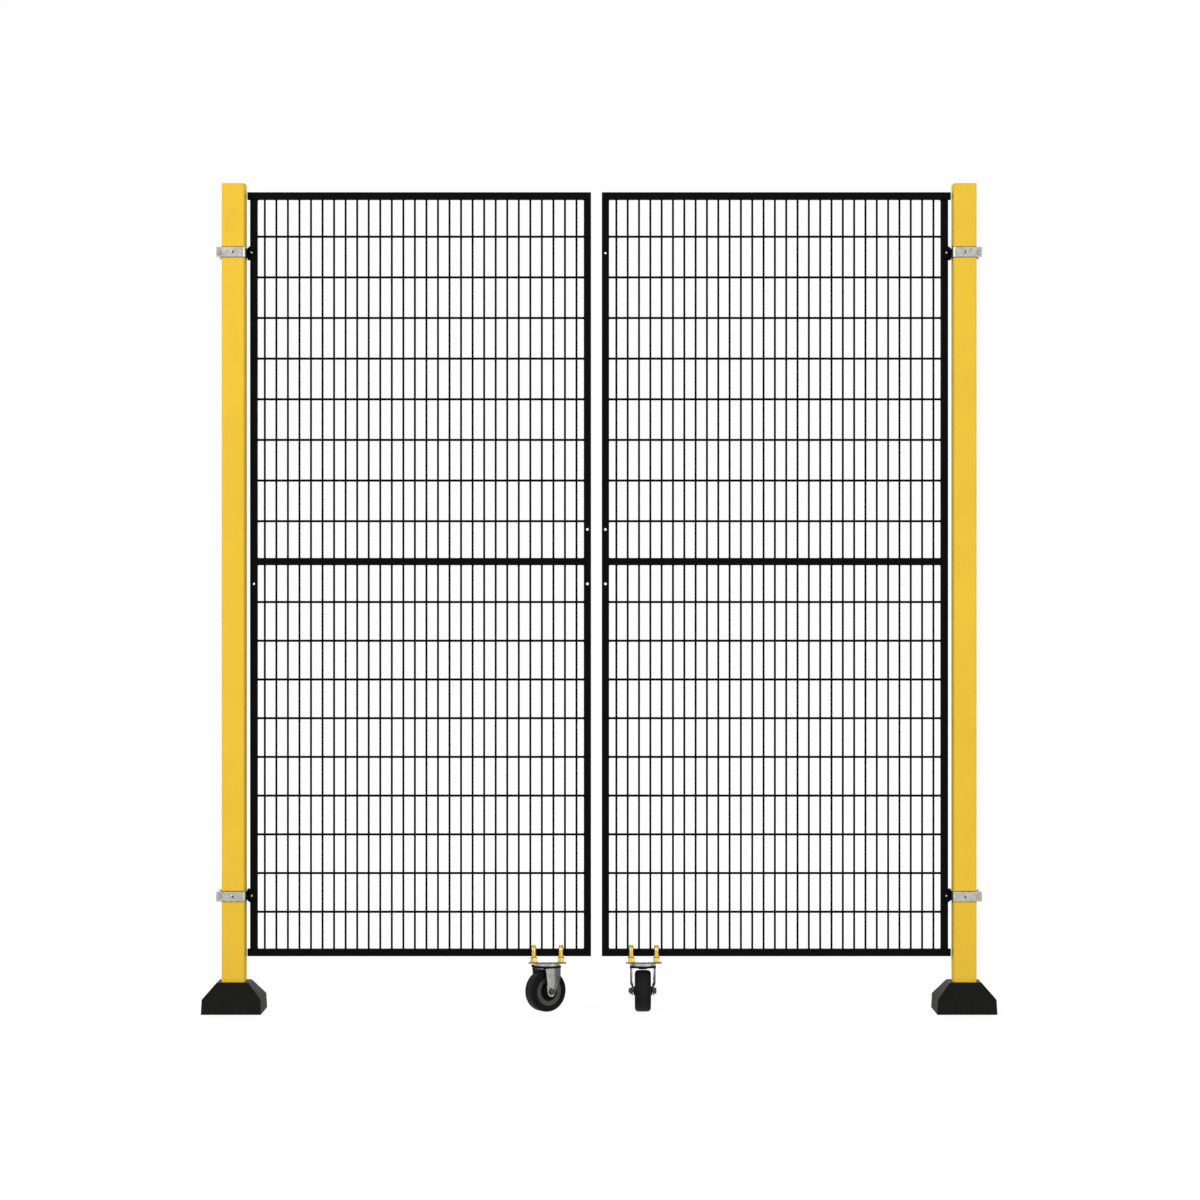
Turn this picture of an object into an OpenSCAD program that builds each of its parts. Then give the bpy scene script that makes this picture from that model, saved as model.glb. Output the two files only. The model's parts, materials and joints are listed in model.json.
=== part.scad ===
// Double-leaf swing gate of a machine guard fence.
// Two square posts on covered base plates carry two welded mesh leaves on clamped
// lift-off hinges, and each leaf rolls on one swivel caster near its meeting edge.
// Millimetres. X runs from the left post to the right one, Y away from the front,
// Z up. The origin is the centre of the left base plate's underside.

/* [Posts] */
// Distance between the centres of the two posts
post_spacing = 1904; // [1600:1:2300]
// Outside width of a square post
post_w = 60; // [50:1:70]
// Wall thickness of a post
post_wall = 3; // [2:0.5:4]
// Outside corner radius of a post
post_corner_r = 5; // [4.5:0.5:8]
// Height of a post's finished top above the leaves
post_rise = 21; // [14:1:400]
// Thickness of the cap on a post
post_cap_t = 3; // [2:0.5:5]
// Depth of the plug under a post cap
post_plug_h = 14; // [6:1:30]
// Air round a plug inside its tube
plug_gap = 0.3; // [0.1:0.1:0.8]

/* [Feet] */
// Width of a square base plate
base_plate_w = 140; // [125:1:180]
// Thickness of a base plate
base_plate_t = 8; // [5:1:12]
// Corner radius of a base plate
base_plate_r = 8; // [3:1:15]
// Distance of an anchor hole's centre from the edges of the base plate
anchor_inset = 20; // [14:1:24]
// Diameter of an anchor hole
anchor_hole_d = 12; // [9:0.5:14]
// Wall thickness of a foot cover
cover_wall = 3; // [2:0.5:4]
// Air between the base plate and the inside of its cover
cover_gap = 5; // [3:0.5:12]
// How far the cover's upright sides lean in up to the knee
cover_draft = 2; // [0.5:0.5:2.5]
// Height of the knee where the sides start to slope
cover_knee_h = 39; // [25:1:50]
// Full height of a foot cover
cover_h = 79; // [65:1:110]
// Width of the flat shelf round the post at the top of a cover
cover_shelf = 11.5; // [6:0.5:20]
// Air between the cover's collar and the post
cover_fit = 0.3; // [0.2:0.1:0.8]

/* [Hinge clamps] */
// Thickness of a clamp strap
strap_t = 3; // [2:0.5:4]
// Height of a clamp strap
strap_h = 26; // [20:1:32]
// Diameter of a clamp bolt
clamp_bolt_d = 8; // [6:1:8]
// Air between the clamp bolt and the outer face of the post
clamp_bolt_gap = 2.5; // [1:0.5:6]
// Distance from the clamp bolt's centre to the end of a strap's ear
ear_edge = 6.5; // [6:0.5:12]
// Width across flats of the clamp bolt's head and nut
clamp_hex_af = 13; // [10:1:15]
// Height of the clamp bolt's head
clamp_head_h = 5.3; // [4:0.1:7]
// Height of the clamp nut
clamp_nut_h = 6.5; // [5:0.1:8]
// Length of clamp bolt that shows past its nut
clamp_bolt_tail = 3; // [1:0.5:12]
// Radial air of a clamp bolt in the strap's ears
clamp_bolt_fit = 0.25; // [0.1:0.05:0.5]

/* [Hinges] */
// Height of a hinge
hinge_h = 33; // [28:1:45]
// Distance from the end of a leaf to the middle of its hinge
hinge_inset = 158; // [100:1:260]
// Diameter of a hinge pin
pin_d = 8; // [6:0.5:10]
// Wall of a knuckle round its pin
knuckle_wall = 3; // [2:0.5:5]
// Radial air of a hinge pin in the leaf's eye
pin_fit = 0.06; // [0.03:0.01:0.09]
// Thickness of the plate that joins the fixed knuckle to the strap
knuckle_plate_t = 4; // [3:0.5:6]
// Width of the web between that plate and the fixed knuckle
knuckle_web_w = 8; // [5:0.5:9]
// Air between the leaf's eye and the fixed plate
eye_gap = 1; // [0.5:0.1:2]
// Air between the fixed knuckle and the bracket on the leaf
knuckle_gap = 1.5; // [1:0.1:3]
// Air between the two knuckles, one above the other
thrust_gap = 0.3; // [0.2:0.1:0.6]
// Length of pin that shows above the leaf's eye
pin_tail = 2; // [1:0.5:6]
// Sheet thickness of the bracket round the hinge stile
bracket_t = 2.5; // [2:0.5:3]
// Width of the web between the bracket and its eye
eye_web_w = 8; // [5:0.5:14]
// How far the bracket reaches across the stile
bracket_reach = 16; // [13:0.5:18]

/* [Leaves] */
// Width of the left leaf between the outer faces of its stiles
left_leaf_w = 889; // [700:1:1000]
// Gap between the two leaves where they meet
meeting_gap = 28; // [20:1:60]
// Height of the underside of a leaf above the floor
leaf_ground_gap = 144; // [144:1:200]
// Height of a leaf
leaf_h = 1992; // [1600:1:1995]
// Outside width of the square frame tube
tube_w = 19; // [19:1:25]
// Wall thickness of the frame tube
tube_wall = 1.5; // [1:0.25:2]
// Outside corner radius of the frame tube
tube_corner_r = 2.5; // [2.25:0.25:3.5]
// Gap between a post and the hinge stile
stile_gap = 12; // [11:0.5:20]
// Gap between a post and the capped end of a rail
rail_end_gap = 5; // [5:0.5:8]
// Height of the middle rail's centre above the underside of the leaf
mid_rail_up = 1029; // [700:1:1200]
// Thickness of the cap on a rail's end
tube_cap_t = 3; // [1.5:0.5:4]
// Depth of the plug behind a rail's cap
tube_plug_l = 12; // [5:1:25]

/* [Mesh] */
// Diameter of an upright wire
upright_d = 4; // [3:0.5:5]
// Diameter of a cross wire
cross_d = 5; // [3:0.5:6]
// Nominal pitch of the upright wires
upright_pitch = 30; // [28:1:60]
// Distance of the first and last upright wires from the stiles
upright_edge = 19; // [12:0.5:28]
// Nominal pitch of the cross wires
cross_pitch = 103; // [80:1:200]
// Distance of the first and last cross wires from the rails
cross_edge = 96; // [40:1:110]
// Depth by which crossing wires are pressed into each other by the weld
weld_bite = 0.2; // [0.1:0.05:0.5]

/* [Drilled holes] */
// Diameter of the holes for a lock through the stiles
lock_hole_d = 7; // [4:0.5:9]
// Height of the upper lock hole above the middle rail's centre
lock_hole_up = 84; // [40:1:200]
// Depth of the lower lock hole below the middle rail's centre
lock_hole_down = 58; // [40:1:200]

/* [Caster mounting] */
// Distance of the left caster's swivel from the leaf's meeting edge
left_caster_inset = 114; // [100:1:250]
// Distance of the right caster's swivel from the leaf's meeting edge
right_caster_inset = 107; // [100:1:250]
// Rod diameter of a U-bolt
ubolt_d = 12; // [8:1:12]
// Distance between the two U-bolts of a caster
ubolt_spacing = 71; // [60:1:80]
// Air between a U-bolt's leg and the side of the bottom rail
ubolt_fit = 0.3; // [0.2:0.1:1]
// Radial air of a U-bolt's leg in the caster's top plate
ubolt_hole_fit = 0.25; // [0.1:0.05:0.6]
// Air kept between a U-bolt and the upright wires
ubolt_wire_gap = 1; // [0.5:0.1:2]
// Width across flats of a U-bolt nut
ubolt_nut_af = 19; // [17:1:22]
// Height of a U-bolt nut
ubolt_nut_h = 10; // [6:0.5:11]
// Thickness of a caster's top plate
caster_plate_t = 4; // [3:0.5:5]
// Margin of the top plate outside the U-bolt nuts
caster_plate_margin = 3; // [1:0.5:8]
// Corner radius of the top plate
caster_plate_r = 6; // [2:1:10]

/* [Casters] */
// Turn of the left caster about its swivel from the rolled-straight position
left_caster_turn = -55; // [-180:1:180]
// Turn of the right caster about its swivel from the rolled-straight position
right_caster_turn = 0; // [-180:1:180]
// Diameter of a caster wheel
wheel_d = 108; // [90:1:109]
// Width of a tyre
tyre_w = 42; // [36:1:44]
// Radial thickness of a tyre
tyre_t = 16; // [10:1:20]
// Radius of a tyre's shoulders
tyre_shoulder_r = 9; // [4:0.5:10]
// Width of the rim under a tyre
rim_w = 34; // [24:1:36]
// Radial thickness of the rim
rim_t = 10; // [5:0.5:12]
// Thickness of the disc between hub and rim
disc_w = 14; // [8:1:20]
// Diameter of the hub
hub_d = 28; // [20:1:32]
// Length of the hub along the axle
hub_l = 49; // [46:0.5:49.5]
// Diameter of the axle bolt
axle_d = 10; // [8:1:12]
// Radial air of the axle in the hub
axle_fit = 0.08; // [0.03:0.01:0.09]
// Width across flats of the axle bolt's head and nut
axle_hex_af = 17; // [15:1:19]
// Height of the axle bolt's head and nut
axle_hex_h = 6.5; // [5:0.5:9]
// Length of axle bolt that shows past its nut
axle_tail = 2; // [1:0.5:6]
// Trail of the wheel's axle behind the swivel
trail = 6; // [5:1:24]
// Sheet thickness of the fork
fork_t = 3.5; // [2.5:0.5:4]
// Outside width of the fork under its crown
fork_w = 66; // [64:1:72]
// Distance by which each leg steps in at the axle
fork_joggle = 3.5; // [2:0.5:3.5]
// Radius of the rounded end of a leg round the axle
fork_end_r = 13; // [12:0.5:18]
// Reach of a leg's top behind the swivel
fork_back = 27; // [22:1:48]
// Reach of a leg's top ahead of the swivel
fork_front = 22; // [16:1:26]
// Length of the upright stretch at the top of a leg's front edge
fork_drop = 30; // [10:1:40]
// Distance ahead of the swivel of the fold down each leg
fork_fold = 1; // [0:0.5:8]
// Angle by which a leg's front flange is folded in
fork_bend = 9; // [3:0.5:10]
// Radius of the fork's round crown
crown_r = 33; // [30:1:40]
// Air between the top of the wheel and the underside of the crown
crown_gap = 8.5; // [7:0.5:9.5]
// Air between the crown and the swivel head above it
swivel_gap = 0.3; // [0.2:0.1:0.6]
// Height of the swivel head under the top plate
swivel_head_h = 6.7; // [4:0.1:8]
// Diameter of the swivel head
swivel_head_d = 68; // [56:1:74]
// Diameter of the king pin
king_pin_d = 16; // [12:1:20]
// Radial air of the king pin in the crown
king_pin_fit = 0.08; // [0.03:0.01:0.09]
// Diameter of the king pin's riveted end
king_nut_d = 25; // [23:1:30]
// Height of the king pin's riveted end
king_nut_h = 3.2; // [2:0.1:3.5]

/* [Hidden] */
$fn = 48;
HEX = 6;
EPS = 1;

post_half = post_w / 2;
tube_half = tube_w / 2;

// Leaf heights
leaf_bottom = leaf_ground_gap;
leaf_top = leaf_bottom + leaf_h;
post_top = leaf_top + post_rise;
mid_rail_z = leaf_bottom + mid_rail_up;
lower_bay = [leaf_bottom + tube_w, mid_rail_z - tube_half];
upper_bay = [mid_rail_z + tube_half, leaf_top - tube_w];
hinge_heights = [leaf_bottom + hinge_inset, leaf_top - hinge_inset];
upper_lock_z = mid_rail_z + lock_hole_up;
lower_lock_z = mid_rail_z - lock_hole_down;

// Leaf places, measured from the leaf's own post towards the other one
stile_x = post_half + stile_gap;
rail_cap_x = post_half + rail_end_gap;
rail_x = rail_cap_x + tube_cap_t;
right_leaf_w = post_spacing - 2 * stile_x - left_leaf_w - meeting_gap;

// Hinge axis
knuckle_r = pin_d / 2 + knuckle_wall;
knuckle_plate_x = post_half + strap_t;
axis_x = knuckle_plate_x + knuckle_plate_t + eye_gap + knuckle_r;
axis_y = tube_half + bracket_t + knuckle_gap + knuckle_r;
strap_corner_r = post_corner_r + strap_t;
strap_flat_end = post_half + strap_t - strap_corner_r;

// Clamp bolt
clamp_bolt_x = -(post_half + clamp_bolt_gap + clamp_bolt_d / 2);
ear_x = clamp_bolt_x - ear_edge;

// Wires: hexagons with the area of the round wire
hex_per_round = sqrt(2 * PI / (3 * sqrt(3)));
upright_r = upright_d / 2 * hex_per_round;
cross_r = cross_d / 2 * hex_per_round;
upright_flat = upright_r * cos(180 / HEX);
cross_flat = cross_r * cos(180 / HEX);
upright_y = weld_bite / 2 - upright_flat;
cross_y = cross_flat - weld_bite / 2;

// Caster heights
wheel_r = wheel_d / 2;
crown_z = wheel_d + crown_gap;
crown_top = crown_z + fork_t;
head_z = crown_top + swivel_gap;
caster_plate_z = head_z + swivel_head_h;
caster_plate_top = caster_plate_z + caster_plate_t;

// U-bolt round the bottom rail
ubolt_r = ubolt_d / 2;
ubolt_leg_y = tube_half + ubolt_fit + ubolt_r;
ubolt_bend_r = ubolt_r + tube_corner_r;
ubolt_bar_z = leaf_bottom + tube_w + ubolt_r;
ubolt_nut_r = ubolt_nut_af / 2 / cos(180 / HEX);

// Fork
leg_outer = fork_w / 2;
leg_inner = leg_outer - fork_t;
step_outer = leg_outer - fork_joggle;
step_inner = leg_inner - fork_joggle;
step_low_z = wheel_r + fork_end_r;
step_high_z = step_low_z + 2 * fork_joggle;

// ---------------------------------------------------------------- helpers

module on_left() {
    children();
}

module on_right() {
    translate([post_spacing, 0, 0])
        mirror([1, 0, 0])
            children();
}

// Square with round corners, centred
module round_square(w, r) {
    flat = w - 2 * r;
    square([w, flat], center = true);
    square([flat, w], center = true);
    for (x = [-1, 1], y = [-1, 1])
        translate([x * flat / 2, y * flat / 2])
            circle(r);
}

// Rectangle with round corners, centred
module round_rectangle(w, d, r) {
    square([w, d - 2 * r], center = true);
    square([w - 2 * r, d], center = true);
    for (x = [-1, 1], y = [-1, 1])
        translate([x * (w / 2 - r), y * (d / 2 - r)])
            circle(r);
}

module square_tube(w, wall, r, length) {
    linear_extrude(length)
        difference() {
            round_square(w, r);
            round_square(w - 2 * wall, r - wall);
        }
}

module frame_tube(length) {
    square_tube(tube_w, tube_wall, tube_corner_r, length);
}

// Rail along X at height z
module rail(x0, x1, z) {
    translate([x0, 0, z])
        rotate([0, 90, 0])
            frame_tube(x1 - x0);
}

module hex_prism(af, h) {
    cylinder(h = h, d = af / cos(180 / HEX), $fn = HEX);
}

// Bore along Y through a stile whose centre is at x
module stile_hole(x, z) {
    translate([x, tube_w, z])
        rotate([90, 0, 0])
            cylinder(h = 2 * tube_w, d = lock_hole_d);
}

// ------------------------------------------------------------------ posts

module post() {
    color("gold")
        translate([0, 0, base_plate_t])
            square_tube(post_w, post_wall, post_corner_r,
                        post_top - post_cap_t - base_plate_t);
}

module post_cap() {
    plug_w = post_w - 2 * (post_wall + plug_gap);
    color("gold")
        translate([0, 0, post_top - post_cap_t]) {
            linear_extrude(post_cap_t)
                round_square(post_w, post_corner_r);
            translate([0, 0, -post_plug_h])
                linear_extrude(post_plug_h)
                    round_square(plug_w, post_corner_r - post_wall);
        }
}

module base_plate() {
    anchor = base_plate_w / 2 - anchor_inset;
    color("goldenrod")
        difference() {
            linear_extrude(base_plate_t)
                round_square(base_plate_w, base_plate_r);
            for (x = [-1, 1], y = [-1, 1])
                translate([x * anchor, y * anchor, -EPS])
                    cylinder(h = base_plate_t + 2 * EPS, d = anchor_hole_d);
        }
}

// Side view of the foot cover: upright skirt, knee, slope and flat shelf.
// inset is the even wall that is taken off all round for the inside.
module cover_profile(inset, floor_z) {
    foot = base_plate_w / 2 + cover_gap + cover_wall;
    knee = foot - cover_draft;
    shelf = post_half + cover_shelf;
    lean = atan2(knee - shelf, cover_h - cover_knee_h);
    inner_foot = foot - inset;
    inner_knee = knee - inset;
    inner_shelf = shelf - inset * tan((90 - lean) / 2);
    knee_z = cover_knee_h - inset * tan(lean / 2);
    polygon([
        [-inner_foot, floor_z], [inner_foot, floor_z],
        [inner_knee, knee_z], [inner_shelf, cover_h - inset],
        [-inner_shelf, cover_h - inset], [-inner_knee, knee_z]
    ]);
}

module cover_block(inset, floor_z) {
    reach = 2 * (base_plate_w + cover_gap + cover_wall);
    intersection() {
        translate([0, reach / 2, 0])
            rotate([90, 0, 0])
                linear_extrude(reach)
                    cover_profile(inset, floor_z);
        translate([-reach / 2, 0, 0])
            rotate([90, 0, 90])
                linear_extrude(reach)
                    cover_profile(inset, floor_z);
    }
}

module foot_cover() {
    opening = post_w + 2 * cover_fit;
    color("dimgray")
        difference() {
            cover_block(0, 0);
            cover_block(cover_wall, -EPS);
            translate([-opening / 2, -opening / 2, 0])
                cube([opening, opening, cover_h + EPS]);
        }
}

// ----------------------------------------------------------- hinge clamps

// Plan of a strap: round the inner side of the post, with ears past its outer face
module strap_plan() {
    outer = post_half + strap_t;
    difference() {
        union() {
            round_square(2 * outer, strap_corner_r);
            translate([ear_x, -outer])
                square([-ear_x, 2 * outer]);
        }
        round_square(post_w, post_corner_r);
        translate([ear_x - EPS, -post_half])
            square([-ear_x + EPS, post_w]);
    }
}

module clamp_straps() {
    bolt_hole_d = clamp_bolt_d + 2 * clamp_bolt_fit;
    color("silver")
        for (z = hinge_heights)
            translate([0, 0, z])
                difference() {
                    translate([0, 0, -strap_h / 2])
                        linear_extrude(strap_h)
                            strap_plan();
                    translate([clamp_bolt_x, post_w, 0])
                        rotate([90, 0, 0])
                            cylinder(h = 2 * post_w, d = bolt_hole_d);
                }
}

// One bolt and nut through both ears at each hinge
module clamp_bolts() {
    outer = post_half + strap_t;
    color("lightgray")
        for (z = hinge_heights)
            translate([clamp_bolt_x, 0, z])
                rotate([90, 0, 0]) {
                    translate([0, 0, outer])
                        hex_prism(clamp_hex_af, clamp_head_h);
                    translate([0, 0, -outer - clamp_nut_h])
                        hex_prism(clamp_hex_af, clamp_nut_h);
                    translate([0, 0, -outer - clamp_nut_h - clamp_bolt_tail])
                        cylinder(h = 2 * outer + clamp_nut_h + clamp_bolt_tail + EPS,
                                 d = clamp_bolt_d);
                }
}

// ----------------------------------------------------------------- hinges

// Lower knuckle with its pin, on a plate against the strap's inner side
module hinge_knuckles() {
    plate_y = axis_y - knuckle_r;
    half = hinge_h / 2;
    color("black")
        for (z = hinge_heights)
            translate([0, 0, z]) {
                translate([knuckle_plate_x, plate_y, -half])
                    cube([knuckle_plate_t, strap_flat_end - plate_y, hinge_h]);
                translate([knuckle_plate_x, axis_y - knuckle_web_w / 2, -half])
                    cube([axis_x - knuckle_plate_x, knuckle_web_w, half - thrust_gap / 2]);
                translate([axis_x, axis_y, -half]) {
                    cylinder(h = half - thrust_gap / 2, r = knuckle_r);
                    cylinder(h = hinge_h + pin_tail, d = pin_d);
                }
            }
}

// Sheet bracket round the hinge stile with the eye that sits on the pin
module hinge_brackets() {
    half = hinge_h / 2;
    back_y = tube_half + bracket_t;
    eye_z = thrust_gap / 2;
    eye_h = half - eye_z;
    color("black")
        for (z = hinge_heights)
            translate([0, 0, z])
                difference() {
                    union() {
                        translate([stile_x - bracket_t, -back_y, -half])
                            cube([bracket_t + bracket_reach, 2 * back_y, hinge_h]);
                        translate([axis_x - eye_web_w / 2, tube_half, eye_z])
                            cube([eye_web_w, axis_y - tube_half, eye_h]);
                        translate([axis_x, axis_y, eye_z])
                            cylinder(h = eye_h, r = knuckle_r);
                    }
                    translate([stile_x, -tube_half, -hinge_h])
                        cube([tube_w, tube_w, 2 * hinge_h]);
                    translate([axis_x, axis_y, -hinge_h])
                        cylinder(h = 2 * hinge_h, d = pin_d + 2 * pin_fit);
                }
}

// ----------------------------------------------------------------- leaves

// Upright tube between the top and bottom rails, drilled at the given heights
module stile(x, holes) {
    color("black")
        difference() {
            translate([x, 0, leaf_bottom + tube_w])
                frame_tube(leaf_h - 2 * tube_w);
            for (z = holes)
                stile_hole(x, z);
        }
}

module hinge_stile(holes) {
    stile(stile_x + tube_half, holes);
}

module meeting_stile(leaf_w, holes) {
    stile(stile_x + leaf_w - tube_half, holes);
}

module end_rail(leaf_w, z) {
    color("black")
        rail(rail_x, stile_x + leaf_w - tube_cap_t, z);
}

module middle_rail(leaf_w) {
    color("black")
        rail(stile_x + tube_w, stile_x + leaf_w - tube_w, mid_rail_z);
}

// Cap with a plug, its outer face at x, plugging towards +X for way = 1
module rail_cap(x, z, way) {
    plug_w = tube_w - 2 * (tube_wall + plug_gap);
    translate([x, 0, z])
        rotate([0, way * 90, 0]) {
            linear_extrude(tube_cap_t)
                round_square(tube_w, tube_corner_r);
            linear_extrude(tube_cap_t + tube_plug_l)
                square(plug_w, center = true);
        }
}

module rail_caps(leaf_w) {
    color("dimgray")
        for (z = [leaf_bottom + tube_half, leaf_top - tube_half]) {
            rail_cap(rail_cap_x, z, 1);
            rail_cap(stile_x + leaf_w, z, -1);
        }
}

// Number of gaps that comes nearest to the nominal pitch
function gaps(clear, edge, pitch) = round((clear - 2 * edge) / pitch);

function step(clear, edge, pitch) = (clear - 2 * edge) / gaps(clear, edge, pitch);

function mesh_w(leaf_w) = leaf_w - 2 * tube_w;

function first_upright(leaf_w) = stile_x + tube_w + upright_edge;

// Welded wire mesh that fills one bay, its wires' ends on the frame tubes
module mesh(leaf_w, bay) {
    clear_w = mesh_w(leaf_w);
    clear_h = bay[1] - bay[0];
    up_step = step(clear_w, upright_edge, upright_pitch);
    cross_step = step(clear_h, cross_edge, cross_pitch);
    color("black")
        union() {
            for (i = [0 : gaps(clear_w, upright_edge, upright_pitch)])
                translate([first_upright(leaf_w) + i * up_step, upright_y, bay[0]])
                    cylinder(h = clear_h, r = upright_r, $fn = HEX);
            for (i = [0 : gaps(clear_h, cross_edge, cross_pitch)])
                translate([stile_x + tube_w, cross_y, bay[0] + cross_edge + i * cross_step])
                    rotate([0, 90, 0])
                        cylinder(h = clear_w, r = cross_r, $fn = HEX);
        }
}

// -------------------------------------------------------- caster mounting

function swivel_x(leaf_w, inset) = stile_x + leaf_w - inset;

// The place nearest to x where a U-bolt stands clear between two upright wires
function between_uprights(x, leaf_w) =
    let (pitch = step(mesh_w(leaf_w), upright_edge, upright_pitch),
         first = first_upright(leaf_w),
         cell = first + floor((x - first) / pitch) * pitch,
         room = upright_r + ubolt_r + ubolt_wire_gap)
    min(max(x, cell + room), cell + pitch - room);

function ubolt_places(leaf_w, inset) = [
    for (side = [-1, 1])
        between_uprights(swivel_x(leaf_w, inset) + side * ubolt_spacing / 2, leaf_w)
];

// Quarter bend of the rod from a leg into the bar over the rail, for the +Y side
module ubolt_bend() {
    translate([0, ubolt_leg_y - ubolt_bend_r, ubolt_bar_z - ubolt_bend_r])
        rotate([90, 0, 90])
            rotate_extrude(angle = 90)
                translate([ubolt_bend_r, 0])
                    circle(ubolt_r);
}

module ubolt() {
    leg_top = ubolt_bar_z - ubolt_bend_r;
    bar_half = ubolt_leg_y - ubolt_bend_r;
    for (side = [0, 1])
        mirror([0, side, 0]) {
            translate([0, ubolt_leg_y, caster_plate_z])
                cylinder(h = leg_top - caster_plate_z, r = ubolt_r);
            translate([0, ubolt_leg_y, caster_plate_top])
                hex_prism(ubolt_nut_af, ubolt_nut_h);
            ubolt_bend();
        }
    translate([0, bar_half, ubolt_bar_z])
        rotate([90, 0, 0])
            cylinder(h = 2 * bar_half, r = ubolt_r);
}

module caster_ubolts(leaf_w, inset) {
    color("khaki")
        for (x = ubolt_places(leaf_w, inset))
            translate([x, 0, 0])
                ubolt();
}

// Top plate with the swivel head and the riveted king pin below it
module caster_plate(leaf_w, inset) {
    places = ubolt_places(leaf_w, inset);
    plate_l = places[1] - places[0] + 2 * (ubolt_nut_r + caster_plate_margin);
    plate_w = 2 * (ubolt_leg_y + ubolt_nut_r + caster_plate_margin);
    hole_d = ubolt_d + 2 * ubolt_hole_fit;
    color("silver") {
        difference() {
            translate([(places[0] + places[1]) / 2, 0, caster_plate_z])
                linear_extrude(caster_plate_t)
                    round_rectangle(plate_l, plate_w, caster_plate_r);
            for (x = places, y = [-1, 1])
                translate([x, y * ubolt_leg_y, caster_plate_z - EPS])
                    cylinder(h = caster_plate_t + 2 * EPS, d = hole_d);
        }
        translate([swivel_x(leaf_w, inset), 0, 0]) {
            translate([0, 0, head_z])
                cylinder(h = swivel_head_h, d = swivel_head_d);
            translate([0, 0, crown_z - swivel_gap])
                cylinder(h = head_z - crown_z + 2 * swivel_gap, d = king_pin_d);
            translate([0, 0, crown_z - swivel_gap - king_nut_h])
                cylinder(h = king_nut_h, d = king_nut_d);
        }
    }
}

// ---------------------------------------------------------------- casters

// Puts a caster, drawn with its swivel on Z and its axle along X, under its leaf
module under_leaf(leaf_w, inset, turn) {
    translate([swivel_x(leaf_w, inset), 0, 0])
        rotate([0, 0, turn])
            children();
}

// Turns something drawn round Z so that it lies round the axle
module on_axle() {
    translate([0, -trail, wheel_r])
        rotate([0, 90, 0])
            children();
}

// Point where the edge from a leg's top corner touches the leg's round end.
// side is -1 for the back edge and 1 for the front edge.
function leg_tangent(corner, side) =
    let (end = [-trail, wheel_r],
         away = corner - end,
         reach = norm(away),
         bearing = atan2(away[1], away[0]),
         swing = acos(fork_end_r / reach))
    end + fork_end_r * [cos(bearing - side * swing), sin(bearing - side * swing)];

leg_back = [-fork_back, crown_top];
leg_front = [fork_front, crown_top];
leg_front_knee = [fork_front, crown_top - fork_drop];
leg_back_low = leg_tangent(leg_back, -1);
leg_front_low = leg_tangent(leg_front_knee, 1);

// Side view of a leg: a taper from the crown to the round end at the axle
module leg_outline() {
    polygon([
        leg_back, leg_front, leg_front_knee, leg_front_low,
        [-trail, wheel_r], leg_back_low
    ]);
    translate([-trail, wheel_r])
        circle(fork_end_r);
}

// Front view of a leg: a sheet that steps in above the axle
module leg_section() {
    low = wheel_r - fork_end_r - EPS;
    polygon([
        [leg_outer, crown_top], [leg_outer, step_high_z],
        [step_outer, step_low_z], [step_outer, low],
        [step_inner, low], [step_inner, step_low_z],
        [leg_inner, step_high_z], [leg_inner, crown_top]
    ]);
}

// Leg before its front flange is folded
module leg_blank() {
    intersection() {
        translate([0, crown_r * 2, 0])
            rotate([90, 0, 0])
                linear_extrude(4 * crown_r)
                    leg_section();
        rotate([90, 0, 90])
            linear_extrude(fork_w)
                leg_outline();
    }
}

// Space on one side of the fold: behind it for way = -1, ahead of it for way = 1
module side_of_fold(way) {
    span = 4 * crown_r;
    translate([0, fork_fold + (way - 1) * span / 2, -EPS])
        cube([fork_w, span, crown_top + 2 * EPS]);
}

module fork_leg() {
    intersection() {
        leg_blank();
        side_of_fold(-1);
    }
    translate([leg_outer, fork_fold, 0])
        rotate([0, 0, fork_bend])
            translate([-leg_outer, -fork_fold, 0])
                intersection() {
                    leg_blank();
                    side_of_fold(1);
                }
}

// Plan of the crown: a disc on a plate whose front corners follow the folded flanges
module crown_plan() {
    flange = fork_front - fork_fold;
    corner = [leg_outer - flange * sin(fork_bend), fork_fold + flange * cos(fork_bend)];
    circle(crown_r);
    for (side = [0, 1])
        mirror([side, 0])
            polygon([
                [0, -fork_back], [leg_outer, -fork_back], [leg_outer, fork_fold],
                corner, [0, corner[1]]
            ]);
}

module caster_fork() {
    color("gainsboro")
        difference() {
            union() {
                translate([0, 0, crown_z])
                    linear_extrude(fork_t)
                        crown_plan();
                for (side = [0, 1])
                    mirror([side, 0, 0])
                        fork_leg();
            }
            translate([0, 0, crown_z - EPS])
                cylinder(h = fork_t + 2 * EPS, d = king_pin_d + 2 * king_pin_fit);
            translate([-fork_w, 0, 0])
                on_axle()
                    cylinder(h = 2 * fork_w, d = axle_d + 2 * axle_fit);
        }
}

module caster_axle() {
    color("lightgray")
        on_axle() {
            translate([0, 0, step_outer])
                hex_prism(axle_hex_af, axle_hex_h);
            translate([0, 0, -step_outer - axle_hex_h])
                hex_prism(axle_hex_af, axle_hex_h);
            translate([0, 0, -step_outer - axle_hex_h - axle_tail])
                cylinder(h = 2 * step_outer + axle_hex_h + axle_tail + EPS, d = axle_d);
        }
}

// Rectangle in a wheel's section, from radius r0 to r1 and w wide
module ring_section(r0, r1, w) {
    translate([r0, -w / 2])
        square([r1 - r0, w]);
}

module wheel_rim() {
    seat_r = wheel_r - tyre_t;
    color("dimgray")
        on_axle()
            rotate_extrude() {
                ring_section(axle_d / 2 + axle_fit, hub_d / 2, hub_l);
                ring_section(hub_d / 2 - EPS, seat_r - rim_t + EPS, disc_w);
                ring_section(seat_r - rim_t, seat_r, rim_w);
            }
}

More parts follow.
